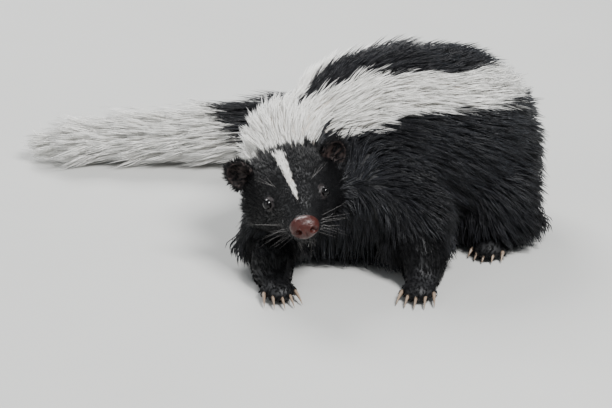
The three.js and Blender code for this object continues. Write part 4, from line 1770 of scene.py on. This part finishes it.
    def claws(self) -> None:
        """Five curved claws on each foot, long on the forefeet."""
        sides, rings = 10, 8
        for leg in self.outline.legs:
            points, faces = [], []
            for _, tip, spread in leg.toes():
                start = len(points)
                base = tip + spread * 0.5
                across = np.array([-spread[1], spread[0], 0.0])
                for i in range(rings):
                    t = i / rings
                    centre = base + spread * leg.claw * t
                    centre[2] = 5.2 - 4.3 * t * t
                    r = 1.8 * (1 - t) ** 0.75
                    for k in range(sides):
                        a = 2 * math.pi * k / sides
                        points.append(centre + across * 0.75 * r * math.cos(a) + Z * r * math.sin(a))
                end = base + spread * leg.claw
                end[2] = 0.9
                points.append(end)
                last = start + rings * sides
                for i in range(rings):
                    for k in range(sides):
                        a, b = start + i * sides + k, start + i * sides + (k + 1) % sides
                        if i == rings - 1:
                            faces.append((b, a, last))
                        else:
                            faces.append((b, a, a + sides, b + sides))
                faces.append(tuple(start + k for k in range(sides)))
            nodes = [f"{leg.name}_claw_{i + 1}" for i in range(5)]
            self._dress(f"{leg.name}_claws", np.array(points), faces, self.finishes.claw,
                        nodes)

    def whiskers(self) -> None:
        """Pale and dark bristles on the lips, chin and brows."""
        rng = np.random.default_rng(self.whisker_seed)
        points: list[np.ndarray] = []
        faces: list[tuple[int, ...]] = []
        for side in (1, -1):
            for row in range(3):
                for i in range(4):
                    root = HEAD.at(25 - 3.4 * i, side * (7.2 + 1.1 * i), -11.5 - 2.1 * row + 0.3 * i)
                    lift = -0.34 * row + 0.1 + rng.uniform(-0.12, 0.12)
                    out = np.array([rng.uniform(-0.25, 0.25), side * 1.0, lift]) @ HEAD.axes
                    length = 13 + 3.5 * i + rng.uniform(-3, 4)
                    self._bristle(points, faces, root, unit(out), length, rng)
            for i in range(3):
                root = HEAD.at(4 - 2 * i, side * (12 + i), 11.5)
                out = np.array([0.1 - 0.3 * i, side * (0.5 + 0.3 * i), 0.9 - 0.2 * i]) @ HEAD.axes
                self._bristle(points, faces, root, unit(out), 9 + 2 * i, rng)
        for _ in range(26):
            root = HEAD.at(rng.uniform(6, 21), rng.uniform(-6, 6), -23.2)
            out = np.array([0.35, rng.uniform(-0.5, 0.5), -0.8]) @ HEAD.axes
            self._bristle(points, faces, root, unit(out), rng.uniform(4, 8), rng)
        obj = make_mesh("whiskers", self.place.model(np.array(points)), faces)
        obj.data.materials.append(self.finishes.whisker)
        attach(obj, BODY)

    def _bristle(
        self, points: list[np.ndarray], faces: list[tuple[int, ...]], root: np.ndarray,
        out: np.ndarray, length: float, rng: np.random.Generator,
    ) -> None:
        """Adds one tapered bristle that bends back.

        Args:
            points: the points so far.
            faces: the faces so far.
            root: where it grows.
            out: its first direction.
            length: its length.
            rng: the source of its variation.
        """
        start, rings = len(points), 6
        bend = -HEAD.forward * rng.uniform(0.3, 0.6) - HEAD.up * rng.uniform(0.0, 0.25)
        side = unit(np.cross(out, HEAD.up))
        other = np.cross(out, side)
        for i in range(rings):
            t = i / rings
            centre = root + out * length * t + bend * length * t * t * 0.5
            r = 0.1 * (1 - 0.75 * t)
            for k in range(4):
                a = math.pi * k / 2
                points.append(centre + r * (math.cos(a) * side + math.sin(a) * other))
        points.append(root + out * length + bend * length * 0.5)
        for i in range(rings):
            for k in range(4):
                a, b = start + 4 * i + k, start + 4 * i + (k + 1) % 4
                if i == rings - 1:
                    faces.append((a, b, start + 4 * rings))
                else:
                    faces.append((a, b, b + 4, a + 4))


# The studio


@dataclass
class Studio:
    """Camera, lights and floor."""

    place: Place
    aim: tuple[float, float, float] = (4.0, 0.0, 63.0)
    elevation: float = 22.0
    distance: float = 3500.0
    pixels_per_mm: float = 1.56
    image_width: float = 612.0

    def build(self) -> None:
        """Makes the whole set."""
        self._camera()
        self._lights()
        self._floor()

    def _camera(self) -> None:
        """The long lens that looks down on the animal from in front."""
        data = bpy.data.cameras.new("camera")
        data.sensor_width = 36.0
        data.lens = self.pixels_per_mm * self.distance * data.sensor_width / self.image_width
        data.clip_end = 50
        camera = bpy.data.objects.new("camera", data)
        tilt = math.radians(self.elevation)
        back = np.array([0.0, -math.cos(tilt), math.sin(tilt)])
        at = np.array(self.aim) + back * self.distance
        camera.location = Vector(self.place.model(at[None])[0])
        camera.rotation_euler = (math.pi / 2 - tilt, 0, 0)
        bpy.context.scene.collection.objects.link(camera)
        bpy.context.scene.camera = camera

    def _lights(self) -> None:
        """A large soft key, a fill, and a light behind for the edge of the coat."""
        for name, spot, power, size in (
            ("key", (0.75, -0.9, 1.7), 68, 0.6),
            ("fill", (-1.3, -0.9, 0.8), 8, 1.4),
            ("edge", (-0.5, 1.3, 1.3), 40, 0.8),
        ):
            data = bpy.data.lights.new(name, "AREA")
            data.energy = power
            data.size = size
            lamp = bpy.data.objects.new(name, data)
            lamp.location = spot
            aim = Vector((0, 0, 0.05)) - lamp.location
            lamp.rotation_euler = aim.to_track_quat("-Z", "Y").to_euler()
            bpy.context.scene.collection.objects.link(lamp)
        world = bpy.data.worlds.new("studio")
        world.use_nodes = True
        ground = world.node_tree.nodes["Background"]
        ground.inputs[0].default_value = (0.85, 0.92, 1.0, 1)
        ground.inputs[1].default_value = 0.34
        bpy.context.scene.world = world

    def _floor(self) -> None:
        """A plain pale floor that runs far past the view."""
        size = 8.0
        points = np.array([(-size, -size, 0), (size, -size, 0), (size, size, 0), (-size, size, 0)])
        floor = make_mesh("floor", points, [(0, 1, 2, 3)])
        floor.data.materials.append(
            PlainFinish((0.56, 0.56, 0.54), (0.52, 0.52, 0.50), 0.8, 20, 0.05).material("floor")
        )


def main() -> None:
    """Builds the animal and its studio in order."""
    logging.basicConfig(level=logging.INFO, format="%(name)s %(message)s")
    outline = Outline()
    place = Place(outline)
    Studio(place).build()
    finishes = Finishes()
    skin = Skin(outline, Axis(outline), place)
    body = skin.build()
    body.data.materials.append(finishes.skin)
    log.info("skin: %d faces", len(body.data.polygons))
    features = Features(outline, place, finishes)
    pieces = Coat(body, features.ears(), finishes).grow()
    for piece in pieces:
        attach(piece, BODY)
    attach(body, BODY)
    legs = [leg.name for leg in outline.legs]
    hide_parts("head", "neck", "torso", "tail_base", "tail_middle", "tail_tip", *legs)
    features.eyes()
    features.nose()
    features.claws()
    features.whiskers()


if __name__ == "__main__":
    main()
